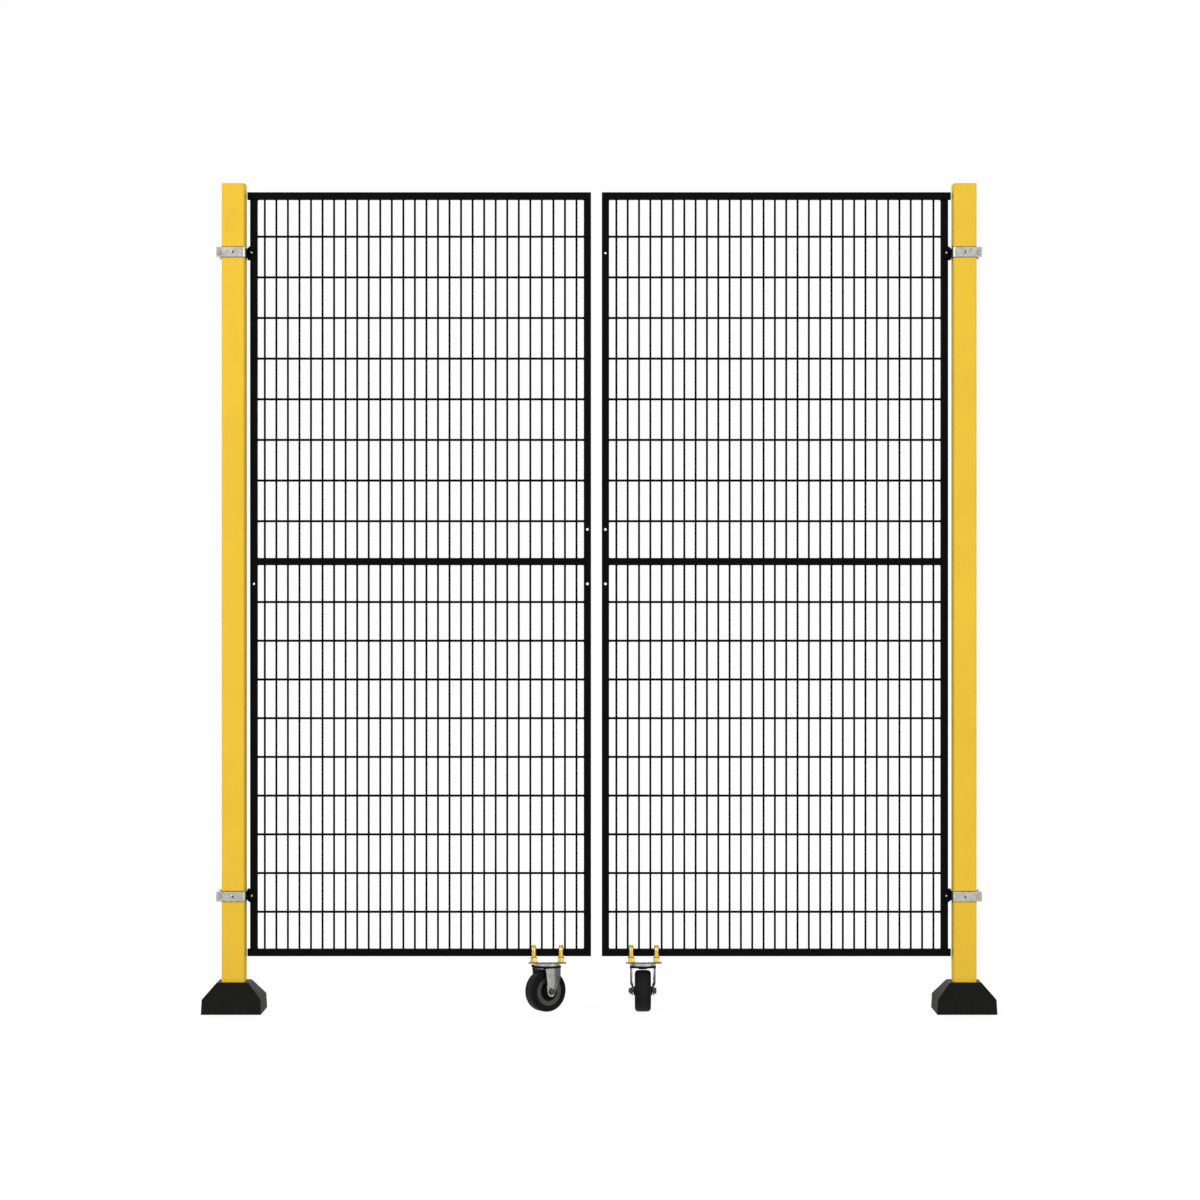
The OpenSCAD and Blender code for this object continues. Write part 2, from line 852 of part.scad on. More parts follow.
module wheel_tyre() {
    seat_r = wheel_r - tyre_t;
    shoulder = tyre_w / 2 - tyre_shoulder_r;
    color("black")
        on_axle()
            rotate_extrude()
                difference() {
                    union() {
                        ring_section(seat_r, wheel_r - tyre_shoulder_r, tyre_w);
                        ring_section(seat_r, wheel_r, 2 * shoulder);
                        for (side = [-1, 1])
                            translate([wheel_r - tyre_shoulder_r, side * shoulder])
                                circle(tyre_shoulder_r);
                    }
                    ring_section(0, seat_r, 2 * tyre_w);
                }
}

// ------------------------------------------------------------------ nodes

on_left() post();  // left_post
on_left() post_cap();  // left_post_cap
on_left() base_plate();  // left_base_plate
on_left() foot_cover();  // left_foot_cover
on_left() clamp_straps();  // left_clamp_straps
on_left() clamp_bolts();  // left_clamp_bolts
on_left() hinge_knuckles();  // left_hinge_knuckles

on_right() post();  // right_post
on_right() post_cap();  // right_post_cap
on_right() base_plate();  // right_base_plate
on_right() foot_cover();  // right_foot_cover
on_right() clamp_straps();  // right_clamp_straps
on_right() clamp_bolts();  // right_clamp_bolts
on_right() hinge_knuckles();  // right_hinge_knuckles

on_left() hinge_stile([lower_lock_z]);  // left_hinge_stile
on_left() meeting_stile(left_leaf_w, [lower_lock_z, upper_lock_z]);  // left_meeting_stile
on_left() end_rail(left_leaf_w, leaf_top - tube_half);  // left_top_rail
on_left() middle_rail(left_leaf_w);  // left_middle_rail
on_left() end_rail(left_leaf_w, leaf_bottom + tube_half);  // left_bottom_rail
on_left() rail_caps(left_leaf_w);  // left_rail_caps
on_left() mesh(left_leaf_w, upper_bay);  // left_upper_mesh
on_left() mesh(left_leaf_w, lower_bay);  // left_lower_mesh
on_left() hinge_brackets();  // left_hinge_brackets
on_left() caster_ubolts(left_leaf_w, left_caster_inset);  // left_caster_ubolts
on_left() caster_plate(left_leaf_w, left_caster_inset);  // left_caster_plate

on_right() hinge_stile([]);  // right_hinge_stile
on_right() meeting_stile(right_leaf_w, [lower_lock_z, upper_lock_z, hinge_heights[1]]);  // right_meeting_stile
on_right() end_rail(right_leaf_w, leaf_top - tube_half);  // right_top_rail
on_right() middle_rail(right_leaf_w);  // right_middle_rail
on_right() end_rail(right_leaf_w, leaf_bottom + tube_half);  // right_bottom_rail
on_right() rail_caps(right_leaf_w);  // right_rail_caps
on_right() mesh(right_leaf_w, upper_bay);  // right_upper_mesh
on_right() mesh(right_leaf_w, lower_bay);  // right_lower_mesh
on_right() hinge_brackets();  // right_hinge_brackets
on_right() caster_ubolts(right_leaf_w, right_caster_inset);  // right_caster_ubolts
on_right() caster_plate(right_leaf_w, right_caster_inset);  // right_caster_plate

on_left() under_leaf(left_leaf_w, left_caster_inset, left_caster_turn) caster_fork();  // left_caster_fork
on_left() under_leaf(left_leaf_w, left_caster_inset, left_caster_turn) caster_axle();  // left_caster_axle
on_left() under_leaf(left_leaf_w, left_caster_inset, left_caster_turn) wheel_rim();  // left_wheel_rim
on_left() under_leaf(left_leaf_w, left_caster_inset, left_caster_turn) wheel_tyre();  // left_wheel_tyre

on_right() under_leaf(right_leaf_w, right_caster_inset, right_caster_turn) caster_fork();  // right_caster_fork
on_right() under_leaf(right_leaf_w, right_caster_inset, right_caster_turn) caster_axle();  // right_caster_axle
on_right() under_leaf(right_leaf_w, right_caster_inset, right_caster_turn) wheel_rim();  // right_wheel_rim
on_right() under_leaf(right_leaf_w, right_caster_inset, right_caster_turn) wheel_tyre();  // right_wheel_tyre
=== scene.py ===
# %% [markdown]
# # Dressing a machine guard gate
#
# The model that arrives here is a frame: every post, tube and bracket of a swing gate
# stands in its right place, in metres, but wears no finish. This lesson gives each
# piece the surface that it has in a workshop: powder coat, zinc, rubber and moulded
# plastic. The pieces that a plain solid can't show, such as round wires, threads and a
# dished wheel, are modelled with bmesh operators and laid over the frame.

# %% Load the frame
import json
import math
import bpy
import bmesh
from mathutils import Matrix, Vector

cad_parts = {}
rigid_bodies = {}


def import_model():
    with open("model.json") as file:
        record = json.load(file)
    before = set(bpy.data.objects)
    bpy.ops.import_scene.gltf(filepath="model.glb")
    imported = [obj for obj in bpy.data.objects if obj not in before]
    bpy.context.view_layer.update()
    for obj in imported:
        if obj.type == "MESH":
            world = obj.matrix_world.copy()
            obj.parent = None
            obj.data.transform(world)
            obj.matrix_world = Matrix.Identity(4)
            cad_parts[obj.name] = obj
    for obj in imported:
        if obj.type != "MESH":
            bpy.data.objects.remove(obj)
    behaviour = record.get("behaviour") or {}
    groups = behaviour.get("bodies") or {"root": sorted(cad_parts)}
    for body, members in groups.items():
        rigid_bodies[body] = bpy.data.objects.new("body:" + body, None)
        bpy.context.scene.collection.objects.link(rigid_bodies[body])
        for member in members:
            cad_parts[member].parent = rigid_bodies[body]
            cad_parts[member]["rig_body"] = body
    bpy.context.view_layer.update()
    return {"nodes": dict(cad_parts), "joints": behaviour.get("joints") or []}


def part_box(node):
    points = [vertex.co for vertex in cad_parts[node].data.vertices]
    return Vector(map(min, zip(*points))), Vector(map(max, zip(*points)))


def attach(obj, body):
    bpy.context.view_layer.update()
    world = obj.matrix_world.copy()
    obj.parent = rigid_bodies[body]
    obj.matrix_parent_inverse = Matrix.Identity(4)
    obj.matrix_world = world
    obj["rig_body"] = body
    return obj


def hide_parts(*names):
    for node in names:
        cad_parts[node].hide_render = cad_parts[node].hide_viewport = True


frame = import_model()
SIDES = ("left", "right")
MM = 0.001

# %% [markdown]
# ## The camera
#
# A gate is tall and flat, so the camera stands far away and has a long lens, which
# keeps the uprights parallel. It looks level along +Y from 8.35 m, at half height.

# %% Camera
EYE = (0.9543, -8.35, 1.0728)
FOCAL_MM, SENSOR_MM = 96, 36

lens = bpy.data.cameras.new("camera")
lens.lens = FOCAL_MM
lens.sensor_width = SENSOR_MM
camera = bpy.data.objects.new("camera", lens)
camera.location = EYE
camera.rotation_euler = (math.radians(90), 0, 0)
bpy.context.scene.collection.objects.link(camera)
bpy.context.scene.camera = camera
print("camera at", tuple(camera.location))

# %% [markdown]
# ## Small helpers for shader nodes
#
# A material is a graph of nodes. Two short functions keep the graphs readable: one
# adds a node and fills in its inputs, the other wires an output to an input.


# %% Node helpers
def add(tree, kind, **inputs):
    """Adds a shader node. Keys are its input names, with _ for a space."""
    node = tree.nodes.new(kind)
    for key, value in inputs.items():
        node.inputs[key.replace("_", " ")].default_value = value
    return node


def wire(tree, source, target):
    """Joins an output socket to an input socket."""
    tree.links.new(source, target)


def maths(tree, operation, a, b):
    """A Math node. Each of a and b is a number or another node's output."""
    node = tree.nodes.new("ShaderNodeMath")
    node.operation = operation
    for socket, value in zip(node.inputs, (a, b)):
        if isinstance(value, (int, float)):
            socket.default_value = value
        else:
            wire(tree, value, socket)
    return node.outputs[0]


def blend(tree, mask, a, b):
    """Mixes two colours by a mask. Each of a and b is a colour or an output."""
    node = tree.nodes.new("ShaderNodeMix")
    node.data_type = "RGBA"
    wire(tree, mask, node.inputs[0])
    for socket, value in zip((node.inputs[6], node.inputs[7]), (a, b)):
        if isinstance(value, tuple):
            socket.default_value = (*value, 1)
        else:
            wire(tree, value, socket)
    return node.outputs[2]


# %% [markdown]
# ## Shared effects
#
# Several finishes share the same effects, so each effect is a node group that is built
# once. A group has named inputs and outputs, made with `interface.new_socket`, and each
# material places it with values of its own. All of them read Object coordinates, which
# are metres here: a noise of scale 1000 has features of about a millimetre.


# %% Group helper
def new_group(name, inputs, outputs):
    """An empty group: inputs are {name: default number}, outputs {name: type}."""
    tree = bpy.data.node_groups.new(name, "ShaderNodeTree")
    for label, default in inputs.items():
        socket = tree.interface.new_socket(label, in_out="INPUT",
                                           socket_type="NodeSocketFloat")
        socket.default_value = default
    for label, kind in outputs.items():
        tree.interface.new_socket(label, in_out="OUTPUT",
                                  socket_type="NodeSocket" + kind)
    return tree, tree.nodes.new("NodeGroupInput"), tree.nodes.new("NodeGroupOutput")


def place_group(tree, group, **inputs):
    """Places a shared group in a material, with values of its own."""
    node = tree.nodes.new("ShaderNodeGroup")
    node.node_tree = group
    for key, value in inputs.items():
        node.inputs[key.replace("_", " ")].default_value = value
    return node


def noise(tree, vector, scale, detail=3.0, roughness=0.5):
    """Noise on a vector. The scale is a number or an output."""
    node = add(tree, "ShaderNodeTexNoise", Detail=detail, Roughness=roughness)
    wire(tree, vector, node.inputs["Vector"])
    if isinstance(scale, (int, float)):
        node.inputs["Scale"].default_value = scale
    else:
        wire(tree, scale, node.inputs["Scale"])
    return node.outputs[0]


def spread(tree, value, low, high, out_low=0.0, out_high=1.0):
    """Map Range: stretches low..high to out_low..out_high, and clamps."""
    node = add(tree, "ShaderNodeMapRange", From_Min=low, From_Max=high,
               To_Min=out_low, To_Max=out_high)
    wire(tree, value, node.inputs["Value"])
    return node.outputs[0]


# %% [markdown]
# ### Coat grain
#
# Powder coat melts into a skin with a faint orange-peel ripple, and moulded plastic
# carries the spark-eroded grain of its mould. Both are a fine noise used as height,
# with a broad slow noise that makes the gloss uneven.

# %% Coat grain group
coat_grain, gin, gout = new_group(
    "coat grain", {"Scale": 900.0, "Cloud": 6.0}, {"Height": "Float", "Cloud": "Float"})
where = coat_grain.nodes.new("ShaderNodeTexCoord").outputs["Object"]
wire(coat_grain, noise(coat_grain, where, gin.outputs["Scale"], 2.0), gout.inputs["Height"])
wire(coat_grain, noise(coat_grain, where, gin.outputs["Cloud"], 4.0, 0.6), gout.inputs["Cloud"])
print("coat grain outputs:", [s.name for s in gout.inputs if s.name])

# %% [markdown]
# ### Dust
#
# Dust settles on what faces up and hangs about near the floor. The mask multiplies how
# far the surface faces up by a blotchy noise, and adds a band that fades with height.

# %% Dust group
dust, gin, gout = new_group(
    "dust", {"Upward": 0.3, "Low": 0.2, "Reach": 0.25}, {"Mask": "Float"})
where = dust.nodes.new("ShaderNodeTexCoord").outputs["Object"]
facing = dust.nodes.new("ShaderNodeNewGeometry").outputs["Normal"]
normal_parts = dust.nodes.new("ShaderNodeSeparateXYZ")
place_parts = dust.nodes.new("ShaderNodeSeparateXYZ")
wire(dust, facing, normal_parts.inputs[0])
wire(dust, where, place_parts.inputs[0])
level = spread(dust, normal_parts.outputs["Z"], 0.4, 1.0)
up = maths(dust, "MULTIPLY", level, gin.outputs["Upward"])
height_share = maths(dust, "DIVIDE", place_parts.outputs["Z"], gin.outputs["Reach"])
low = maths(dust, "MULTIPLY", spread(dust, height_share, 1.0, 0.0), gin.outputs["Low"])
blotch = spread(dust, noise(dust, where, 70.0, 5.0, 0.65), 0.35, 0.7)
total = maths(dust, "MULTIPLY", maths(dust, "ADD", up, low), blotch)
wire(dust, total, gout.inputs["Mask"])
print("dust inputs:", [s.name for s in gin.outputs if s.name])

# %% [markdown]
# ### Edge wear
#
# Paint is thinner on an edge and rubs through there first. The Bevel node gives the
# normal that a rounded edge would have. Where it differs from the real normal there is
# an edge, and a noise breaks the line up into rubbed spots.

# %% Edge wear group
edge_wear, gin, gout = new_group(
    "edge wear", {"Radius": 0.0008, "Amount": 1.0}, {"Mask": "Float"})
where = edge_wear.nodes.new("ShaderNodeTexCoord").outputs["Object"]
rounded = edge_wear.nodes.new("ShaderNodeBevel")
rounded.samples = 4
wire(edge_wear, gin.outputs["Radius"], rounded.inputs["Radius"])
facing = edge_wear.nodes.new("ShaderNodeNewGeometry").outputs["Normal"]
agree = edge_wear.nodes.new("ShaderNodeVectorMath")
agree.operation = "DOT_PRODUCT"
wire(edge_wear, rounded.outputs[0], agree.inputs[0])
wire(edge_wear, facing, agree.inputs[1])
edge = spread(edge_wear, agree.outputs["Value"], 0.98, 0.75)
spots = spread(edge_wear, noise(edge_wear, where, 160.0, 5.0, 0.7), 0.45, 0.65)
rubbed = maths(edge_wear, "MULTIPLY", edge, spots)
wire(edge_wear, maths(edge_wear, "MULTIPLY", rubbed, gin.outputs["Amount"]), gout.inputs["Mask"])
print("edge wear samples:", rounded.samples)

# %% [markdown]
# ### Zinc
#
# Zinc plate is a soft grey metal with cloudy patches, fine drawing lines from the
# rolled sheet, and a few scuffs. The lines are a noise squeezed along one axis.

# %% Zinc group
zinc, gin, gout = new_group(
    "zinc", {"Patch": 120.0, "Lines": 1500.0},
    {"Tone": "Float", "Roughness": "Float", "Height": "Float"})
where = zinc.nodes.new("ShaderNodeTexCoord").outputs["Object"]
squeeze = zinc.nodes.new("ShaderNodeMapping")
squeeze.inputs["Scale"].default_value = (0.06, 1.0, 1.0)
wire(zinc, where, squeeze.inputs["Vector"])
lines = noise(zinc, squeeze.outputs[0], gin.outputs["Lines"], 2.0)
patch = noise(zinc, where, gin.outputs["Patch"], 5.0, 0.6)
tone = maths(zinc, "ADD", maths(zinc, "MULTIPLY", patch, 0.7),
             maths(zinc, "MULTIPLY", lines, 0.3))
wire(zinc, spread(zinc, tone, 0.3, 0.7), gout.inputs["Tone"])
wire(zinc, spread(zinc, patch, 0.3, 0.7, 0.26, 0.46), gout.inputs["Roughness"])
wire(zinc, lines, gout.inputs["Height"])
print("zinc outputs:", [s.name for s in gout.inputs if s.name])

# %% [markdown]
# ## The finishes
#
# Each finish is one material with a Principled BSDF. Numbers that are the same all
# over, such as the specular level, are set on the shader itself.


# %% Finish helper
def finish(name, **settings):
    """A new material: its node tree and its Principled BSDF."""
    material = bpy.data.materials.new(name)
    material.use_nodes = True
    tree = material.node_tree
    shader = tree.nodes["Principled BSDF"]
    for key, value in settings.items():
        shader.inputs[key.replace("_", " ")].default_value = value
    return material, tree, shader


def bump(tree, shader, height, depth):
    """Raises a height mask, depth being the metres between its lowest and highest."""
    node = add(tree, "ShaderNodeBump", Strength=1.0, Distance=depth)
    wire(tree, height, node.inputs["Height"])
    wire(tree, node.outputs[0], shader.inputs["Normal"])


DUST_GREY = (0.42, 0.40, 0.36)


def powder_coat(name, colour, worn, scale, dusty, level):
    """Powder coat: its colour, the colour of a rubbed edge, the scale of its grain,
    how much dust lies on it, and its specular level."""
    material, tree, shader = finish(name, Specular_IOR_Level=level)
    grain = place_group(tree, coat_grain, Scale=scale, Cloud=5.0)
    rubbed = place_group(tree, edge_wear, Radius=0.0007, Amount=0.35)
    settled = place_group(tree, dust, Upward=dusty, Low=dusty * 0.5, Reach=0.2)
    deep = tuple(0.94 * c for c in colour)
    coat = blend(tree, spread(tree, grain.outputs["Cloud"], 0.35, 0.65), deep, colour)
    coat = blend(tree, rubbed.outputs["Mask"], coat, worn)
    coat = blend(tree, settled.outputs["Mask"], coat, DUST_GREY)
    wire(tree, coat, shader.inputs["Base Color"])
    gloss = spread(tree, grain.outputs["Cloud"], 0.3, 0.7, 0.62, 0.74)
    wire(tree, maths(tree, "ADD", gloss, maths(tree, "MULTIPLY", settled.outputs["Mask"], 0.25)),
         shader.inputs["Roughness"])
    bump(tree, shader, grain.outputs["Height"], 0.00006)
    return material


# %% [markdown]
# The posts are safety yellow. The frame, wires and hinges are black powder coat. The
# coat is matt, so its specular level is low: at a shallow angle a glossy coat would
# mirror the white studio and turn pale.

# %% Powder coats
post_yellow = powder_coat(
    "post_yellow", (0.84, 0.54, 0.048), (0.62, 0.34, 0.02), scale=700.0, dusty=0.05, level=0.006)
frame_black = powder_coat(
    "frame_black", (0.0026,) * 3, (0.015,) * 3, scale=800.0, dusty=0.012, level=0.04)
wire_black = powder_coat(
    "wire_black", (0.0026, 0.0026, 0.0028), (0.01,) * 3, scale=1100.0, dusty=0.01, level=0.02)
hinge_black = powder_coat(
    "hinge_black", (0.0024, 0.0026, 0.0022), (0.014,) * 3, scale=900.0, dusty=0.01, level=0.03)
print("powder coats:", post_yellow.name, frame_black.name, wire_black.name, hinge_black.name)

# %% [markdown]
# Zinc comes in two kinds here: clear on the straps, forks and bolts, and yellow
# passivated on the U-bolts, where a thin film shifts between straw and amber. The clear
# zinc has several tones. The pale plate zinc also paints light on the inner sides of the
# fork legs. A darker one paints shade on the forks' flanges. A dull dark one is the axle
# bolts' own and also paints shade on the fork's edges, the plate's rim and the sockets.


# %% Zinc finishes
def zinc_finish(name, dark, light, patch, dusty):
    """Zinc plate: its darkest and lightest tone, the scale of its patches, and dust."""
    material, tree, shader = finish(name, Metallic=1.0)
    plate = place_group(tree, zinc, Patch=patch, Lines=1500.0)
    settled = place_group(tree, dust, Upward=dusty, Low=dusty, Reach=0.18)
    metal = blend(tree, plate.outputs["Tone"], dark, light)
    metal = blend(tree, settled.outputs["Mask"], metal, DUST_GREY)
    wire(tree, metal, shader.inputs["Base Color"])
    wire(tree, plate.outputs["Roughness"], shader.inputs["Roughness"])
    bump(tree, shader, plate.outputs["Height"], 0.00002)
    return material


zinc_strap = zinc_finish(
    "zinc_strap", (0.34, 0.337, 0.306), (0.575, 0.566, 0.515), patch=140.0, dusty=0.05)
# The pale plate zinc is the caster plate's own, and it also paints light on the fork legs' inner
# sides.
zinc_plate = zinc_finish(
    "zinc_plate", (0.60, 0.60, 0.56), (0.84, 0.84, 0.79), patch=120.0, dusty=0.03)
# The next zinc is darker and paints shade on the forks' flanges. The dull dark zinc after it
# serves the axle bolts and paints shade on other faces.
zinc_flange_shade = zinc_finish(
    "zinc_flange_shade", (0.13, 0.13, 0.127), (0.27, 0.27, 0.262), patch=90.0, dusty=0.1)
zinc_fork = zinc_finish(
    "zinc_fork", (0.27, 0.27, 0.263), (0.50, 0.50, 0.49), patch=90.0, dusty=0.12)
dull_zinc_and_shade = zinc_finish(
    "dull_zinc_and_shade", (0.035,) * 3, (0.10, 0.10, 0.096), patch=200.0, dusty=0.05)
yellow_zinc = zinc_finish(
    "yellow_zinc", (0.58, 0.40, 0.08), (0.76, 0.575, 0.17), patch=160.0, dusty=0.04)

AMBER = (0.62, 0.36, 0.12)
tree = yellow_zinc.node_tree
base_colour = tree.nodes["Principled BSDF"].inputs["Base Color"]
where = tree.nodes.new("ShaderNodeTexCoord").outputs["Object"]
film = spread(tree, noise(tree, where, 95.0, 3.0), 0.5, 0.75)
straw = base_colour.links[0].from_socket
wire(tree, blend(tree, film, straw, AMBER), base_colour)
print("zinc finishes:", zinc_strap.name, zinc_fork.name, dull_zinc_and_shade.name, yellow_zinc.name)

# %% [markdown]
# The foot covers, the caps in the rails and the wheels' rims are moulded plastic, and
# the tyres are rubber. A matt black rubber-like finish also paints shade round the
# crowns, under them and along the straps. All have the grain of their mould and a low
# gloss. The tread is painted a little greyer than the sidewalls, partly as wear and
# partly as a painted sheen of the light on it.


# %% Plastic and rubber
def moulded(name, colour, scale, depth, rough, dusty, level):
    """Moulded plastic or rubber: its colour, the scale and depth of its grain,
    its lowest roughness, how much dust lies on it, and its specular level."""
    material, tree, shader = finish(name, Specular_IOR_Level=level)
    grain = place_group(tree, coat_grain, Scale=scale, Cloud=14.0)
    settled = place_group(tree, dust, Upward=dusty, Low=dusty * 1.5, Reach=0.06)
    pale = tuple(1.35 * c for c in colour)
    skin = blend(tree, spread(tree, grain.outputs["Cloud"], 0.35, 0.7), colour, pale)
    skin = blend(tree, settled.outputs["Mask"], skin, DUST_GREY)
    wire(tree, skin, shader.inputs["Base Color"])
    wire(tree, spread(tree, grain.outputs["Cloud"], 0.3, 0.7, rough, rough + 0.12),
         shader.inputs["Roughness"])
    bump(tree, shader, grain.outputs["Height"], depth)
    return material


cover_black = moulded(
    "cover_black", (0.0046, 0.0046, 0.0042), scale=1300.0, depth=0.00012,
    rough=0.58, dusty=0.006, level=0.08)
cap_black = moulded(
    "cap_black", (0.008,) * 3, scale=1500.0, depth=0.00005, rough=0.6, dusty=0.02, level=0.1)
rim_black = moulded(
    "rim_black", (0.058, 0.06, 0.057), scale=1200.0, depth=0.00006,
    rough=0.6, dusty=0.02, level=0.15)
tyre_black = moulded(
    "tyre_black", (0.0034, 0.0036, 0.0036), scale=900.0, depth=0.0001,
    rough=0.55, dusty=0.01, level=0.08)
# The tread's paler black is partly wear and partly a painted sheen.
tread_worn_sheen = moulded(
    "tread_worn_sheen", (0.0074, 0.0076, 0.0082), scale=700.0, depth=0.00015,
    rough=0.52, dusty=0.006, level=0.10)
# This matt black paints shade: the band round each crown, the boss under it and the rims along
# the straps.
painted_shade_black = moulded(
    "painted_shade_black", (0.005,) * 3, scale=1200.0, depth=0.00004, rough=0.65, dusty=0.01, level=0.05)
print("moulded:", cover_black.name, cap_black.name, rim_black.name, tyre_black.name)

# %% [markdown]
# ## From bmesh to a piece
#
# Every piece ends the same way: its faces are turned outwards, the bmesh becomes a mesh
# at the origin, smooth apart from real edges, it gets its finish, and it rides on the
# body that carries it. Where it is drawn over a solid of the frame, it stands for that
# solid. The Weighted Normal modifier keeps flat faces flat next to a bevel.


# %% Piece helper
CREASE = math.radians(38)


def piece(name, bm, body, material, stands_for=()):
    """Ends a bmesh as a finished object that rides on a body and fills a slot."""
    bmesh.ops.recalc_face_normals(bm, faces=bm.faces)
    mesh = bpy.data.meshes.new(name)
    bm.to_mesh(mesh)
    bm.free()
    mesh.polygons.foreach_set("use_smooth", [True] * len(mesh.polygons))
    mesh.set_sharp_from_angle(angle=CREASE)
    mesh.materials.append(material)
    obj = bpy.data.objects.new(name, mesh)
    bpy.context.scene.collection.objects.link(obj)
    weigh = obj.modifiers.new("weighted normals", "WEIGHTED_NORMAL")
    weigh.keep_sharp = True
    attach(obj, body)
    if stands_for:
        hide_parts(*stands_for)
    return obj


def body_of_node(node):
    """The name of the body that carries one of the frame's solids."""
    return frame["nodes"][node]["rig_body"]


# %% [markdown]
# ## Softened edges
#
# Real sheet and plastic never have a knife edge. The solid's mesh is loose triangles,
# so a copy of it is merged, its flat areas are dissolved into single faces, and then
# only the sharp edges are bevelled.


# %% Soften
FINISH = {
    "post_yellow": post_yellow, "frame_black": frame_black, "hinge_black": hinge_black,
    "cover_black": cover_black, "cap_black": cap_black, "zinc_strap": zinc_strap,
    "zinc_plate": zinc_plate, "zinc_fork": zinc_fork,
}
SOFT = {  # part: (rounding in mm, slot); posts and frame tubes are round enough already
    "post": (0, "post_yellow"), "post_cap": (0.8, "post_yellow"),
    "base_plate": (0.6, "post_yellow"), "foot_cover": (1.6, "cover_black"),
    "clamp_straps": (0.4, "zinc_strap"), "hinge_knuckles": (0.5, "hinge_black"),
    "hinge_brackets": (0.4, "hinge_black"), "hinge_stile": (0, "frame_black"),
    "meeting_stile": (0, "frame_black"), "top_rail": (0, "frame_black"),
    "middle_rail": (0, "frame_black"), "bottom_rail": (0, "frame_black"),
    "rail_caps": (0.8, "cap_black"), "caster_plate": (0.5, "zinc_plate"),
    "caster_fork": (0.6, "zinc_fork"),
}


def soften(node, edge, slot):
    """Lays a finished copy over a solid, its sharp edges rounded by edge mm."""
    bm = bmesh.new()
    bm.from_mesh(frame["nodes"][node].data)
    bmesh.ops.remove_doubles(bm, verts=bm.verts, dist=1e-6)
    bmesh.ops.dissolve_limit(bm, angle_limit=math.radians(0.5), verts=bm.verts, edges=bm.edges)
    if edge:
        sharp = [e for e in bm.edges if e.is_manifold and e.calc_face_angle() > CREASE]
        bmesh.ops.bevel(bm, geom=sharp, offset=edge * MM, segments=2, profile=0.5,
                        affect="EDGES", material=-1, clamp_overlap=True)
    piece(node + "_skin", bm, body_of_node(node), FINISH[slot], (node,))


for side in SIDES:
    for part, (edge, slot) in SOFT.items():
        soften(f"{side}_{part}", edge, slot)
print("softened:", len(SIDES) * len(SOFT), "pieces")

# %% [markdown]
# ## Round wires
#
# The solid's wires are six-sided bars, which is enough to collide with. Here each wire
# is a round bar with a small collar of weld where it meets the frame. The uprights lie
# in front of the cross wires and bite into them a little, and a flat nugget of weld
# fills each crossing. A sphere of twenty faces is enough for a nugget, because there
# are about a thousand of them.


# %% Bars and lumps
def bar(bm, start, end, radius, sides=12, end_radius=None):
    """A round bar from start to end, or a cone if it has an end_radius."""
    start, end = Vector(start), Vector(end)
    along = end - start
    turn = along.to_track_quat("Z", "Y").to_matrix().to_4x4()
    bmesh.ops.create_cone(
        bm, cap_ends=True, segments=sides, radius1=radius,
        radius2=radius if end_radius is None else end_radius, depth=along.length,
        matrix=Matrix.Translation((start + end) / 2) @ turn)


def blob(bm, centre, size):
    """A lump of weld, size being its three half widths."""
    bmesh.ops.create_icosphere(
        bm, subdivisions=1, radius=1.0,
        matrix=Matrix.Translation(centre) @ Matrix.Diagonal((*size, 1)))


def between(low, high, count):
    """Evenly spaced values from low to high."""
    return [low + (high - low) * i / (count - 1) for i in range(count)]


# %% Wires and their welds
UPRIGHT_R, CROSS_R, BITE = 2.7 * MM, 3.0 * MM, 0.1 * MM
UPRIGHT_EDGE, CROSS_EDGE = 19 * MM, 96 * MM  # from a bay's rim to its first wire
UPRIGHTS = {"left": 28, "right": 29}
CROSSES = {"upper": 8, "lower": 9}
COLLAR_SIDES = 8
UPRIGHT_COLLAR = (3.4 * MM, 1.6 * MM)  # radius and length
CROSS_COLLAR = (4 * MM, 1.8 * MM)
NUGGET = (2.9 * MM, 1.5 * MM, 2.9 * MM)


def wire_with_collars(bm, start, end, radius, collar):
    """A wire whose two ends are welded to the frame."""
    bar(bm, start, end, radius)
    foot_radius, length = collar
    for foot, tip in ((start, end), (end, start)):
        inwards = (Vector(tip) - Vector(foot)).normalized() * length
        bar(bm, foot, Vector(foot) + inwards, foot_radius, COLLAR_SIDES, radius)


def wire_panel(side, bay):
    """The welded mesh of one bay of a leaf."""
    node = f"{side}_{bay}_mesh"
    low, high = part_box(node)
    bm = bmesh.new()
    front, back = BITE - UPRIGHT_R, CROSS_R - BITE
    uprights = between(low.x + UPRIGHT_EDGE, high.x - UPRIGHT_EDGE, UPRIGHTS[side])
    crosses = between(low.z + CROSS_EDGE, high.z - CROSS_EDGE, CROSSES[bay])
    for x in uprights:
        wire_with_collars(bm, (x, front, low.z), (x, front, high.z), UPRIGHT_R, UPRIGHT_COLLAR)
    for z in crosses:
        wire_with_collars(bm, (low.x, back, z), (high.x, back, z), CROSS_R, CROSS_COLLAR)
        for x in uprights:
            blob(bm, (x, 0, z), NUGGET)
    return piece(f"{side}_{bay}_wires", bm, f"{side}_leaf", wire_black, (node,))


for side in SIDES:
    for bay in CROSSES:
        panel = wire_panel(side, bay)
        print(panel.name, "faces:", len(panel.data.polygons))

# %% [markdown]
# ## Weld beads on the leaf frames
#
# Where two tubes meet, a bead of weld fills the corner. A bead is a row of overlapping
# lumps, each a little ahead of the last, which is how the ripples form.


# %% Weld beads
BEAD_R, BEAD_PITCH = 1.5 * MM, 1.7 * MM
BEAD_REACH = 7.5 * MM  # each way from the middle of the tube


def bead(bm, x, z):
    """A bead of weld across the tubes, from front to back."""
    for i in range(round(2 * BEAD_REACH / BEAD_PITCH) + 1):
        blob(bm, (x, BEAD_PITCH * i - BEAD_REACH, z), (BEAD_R,) * 3)


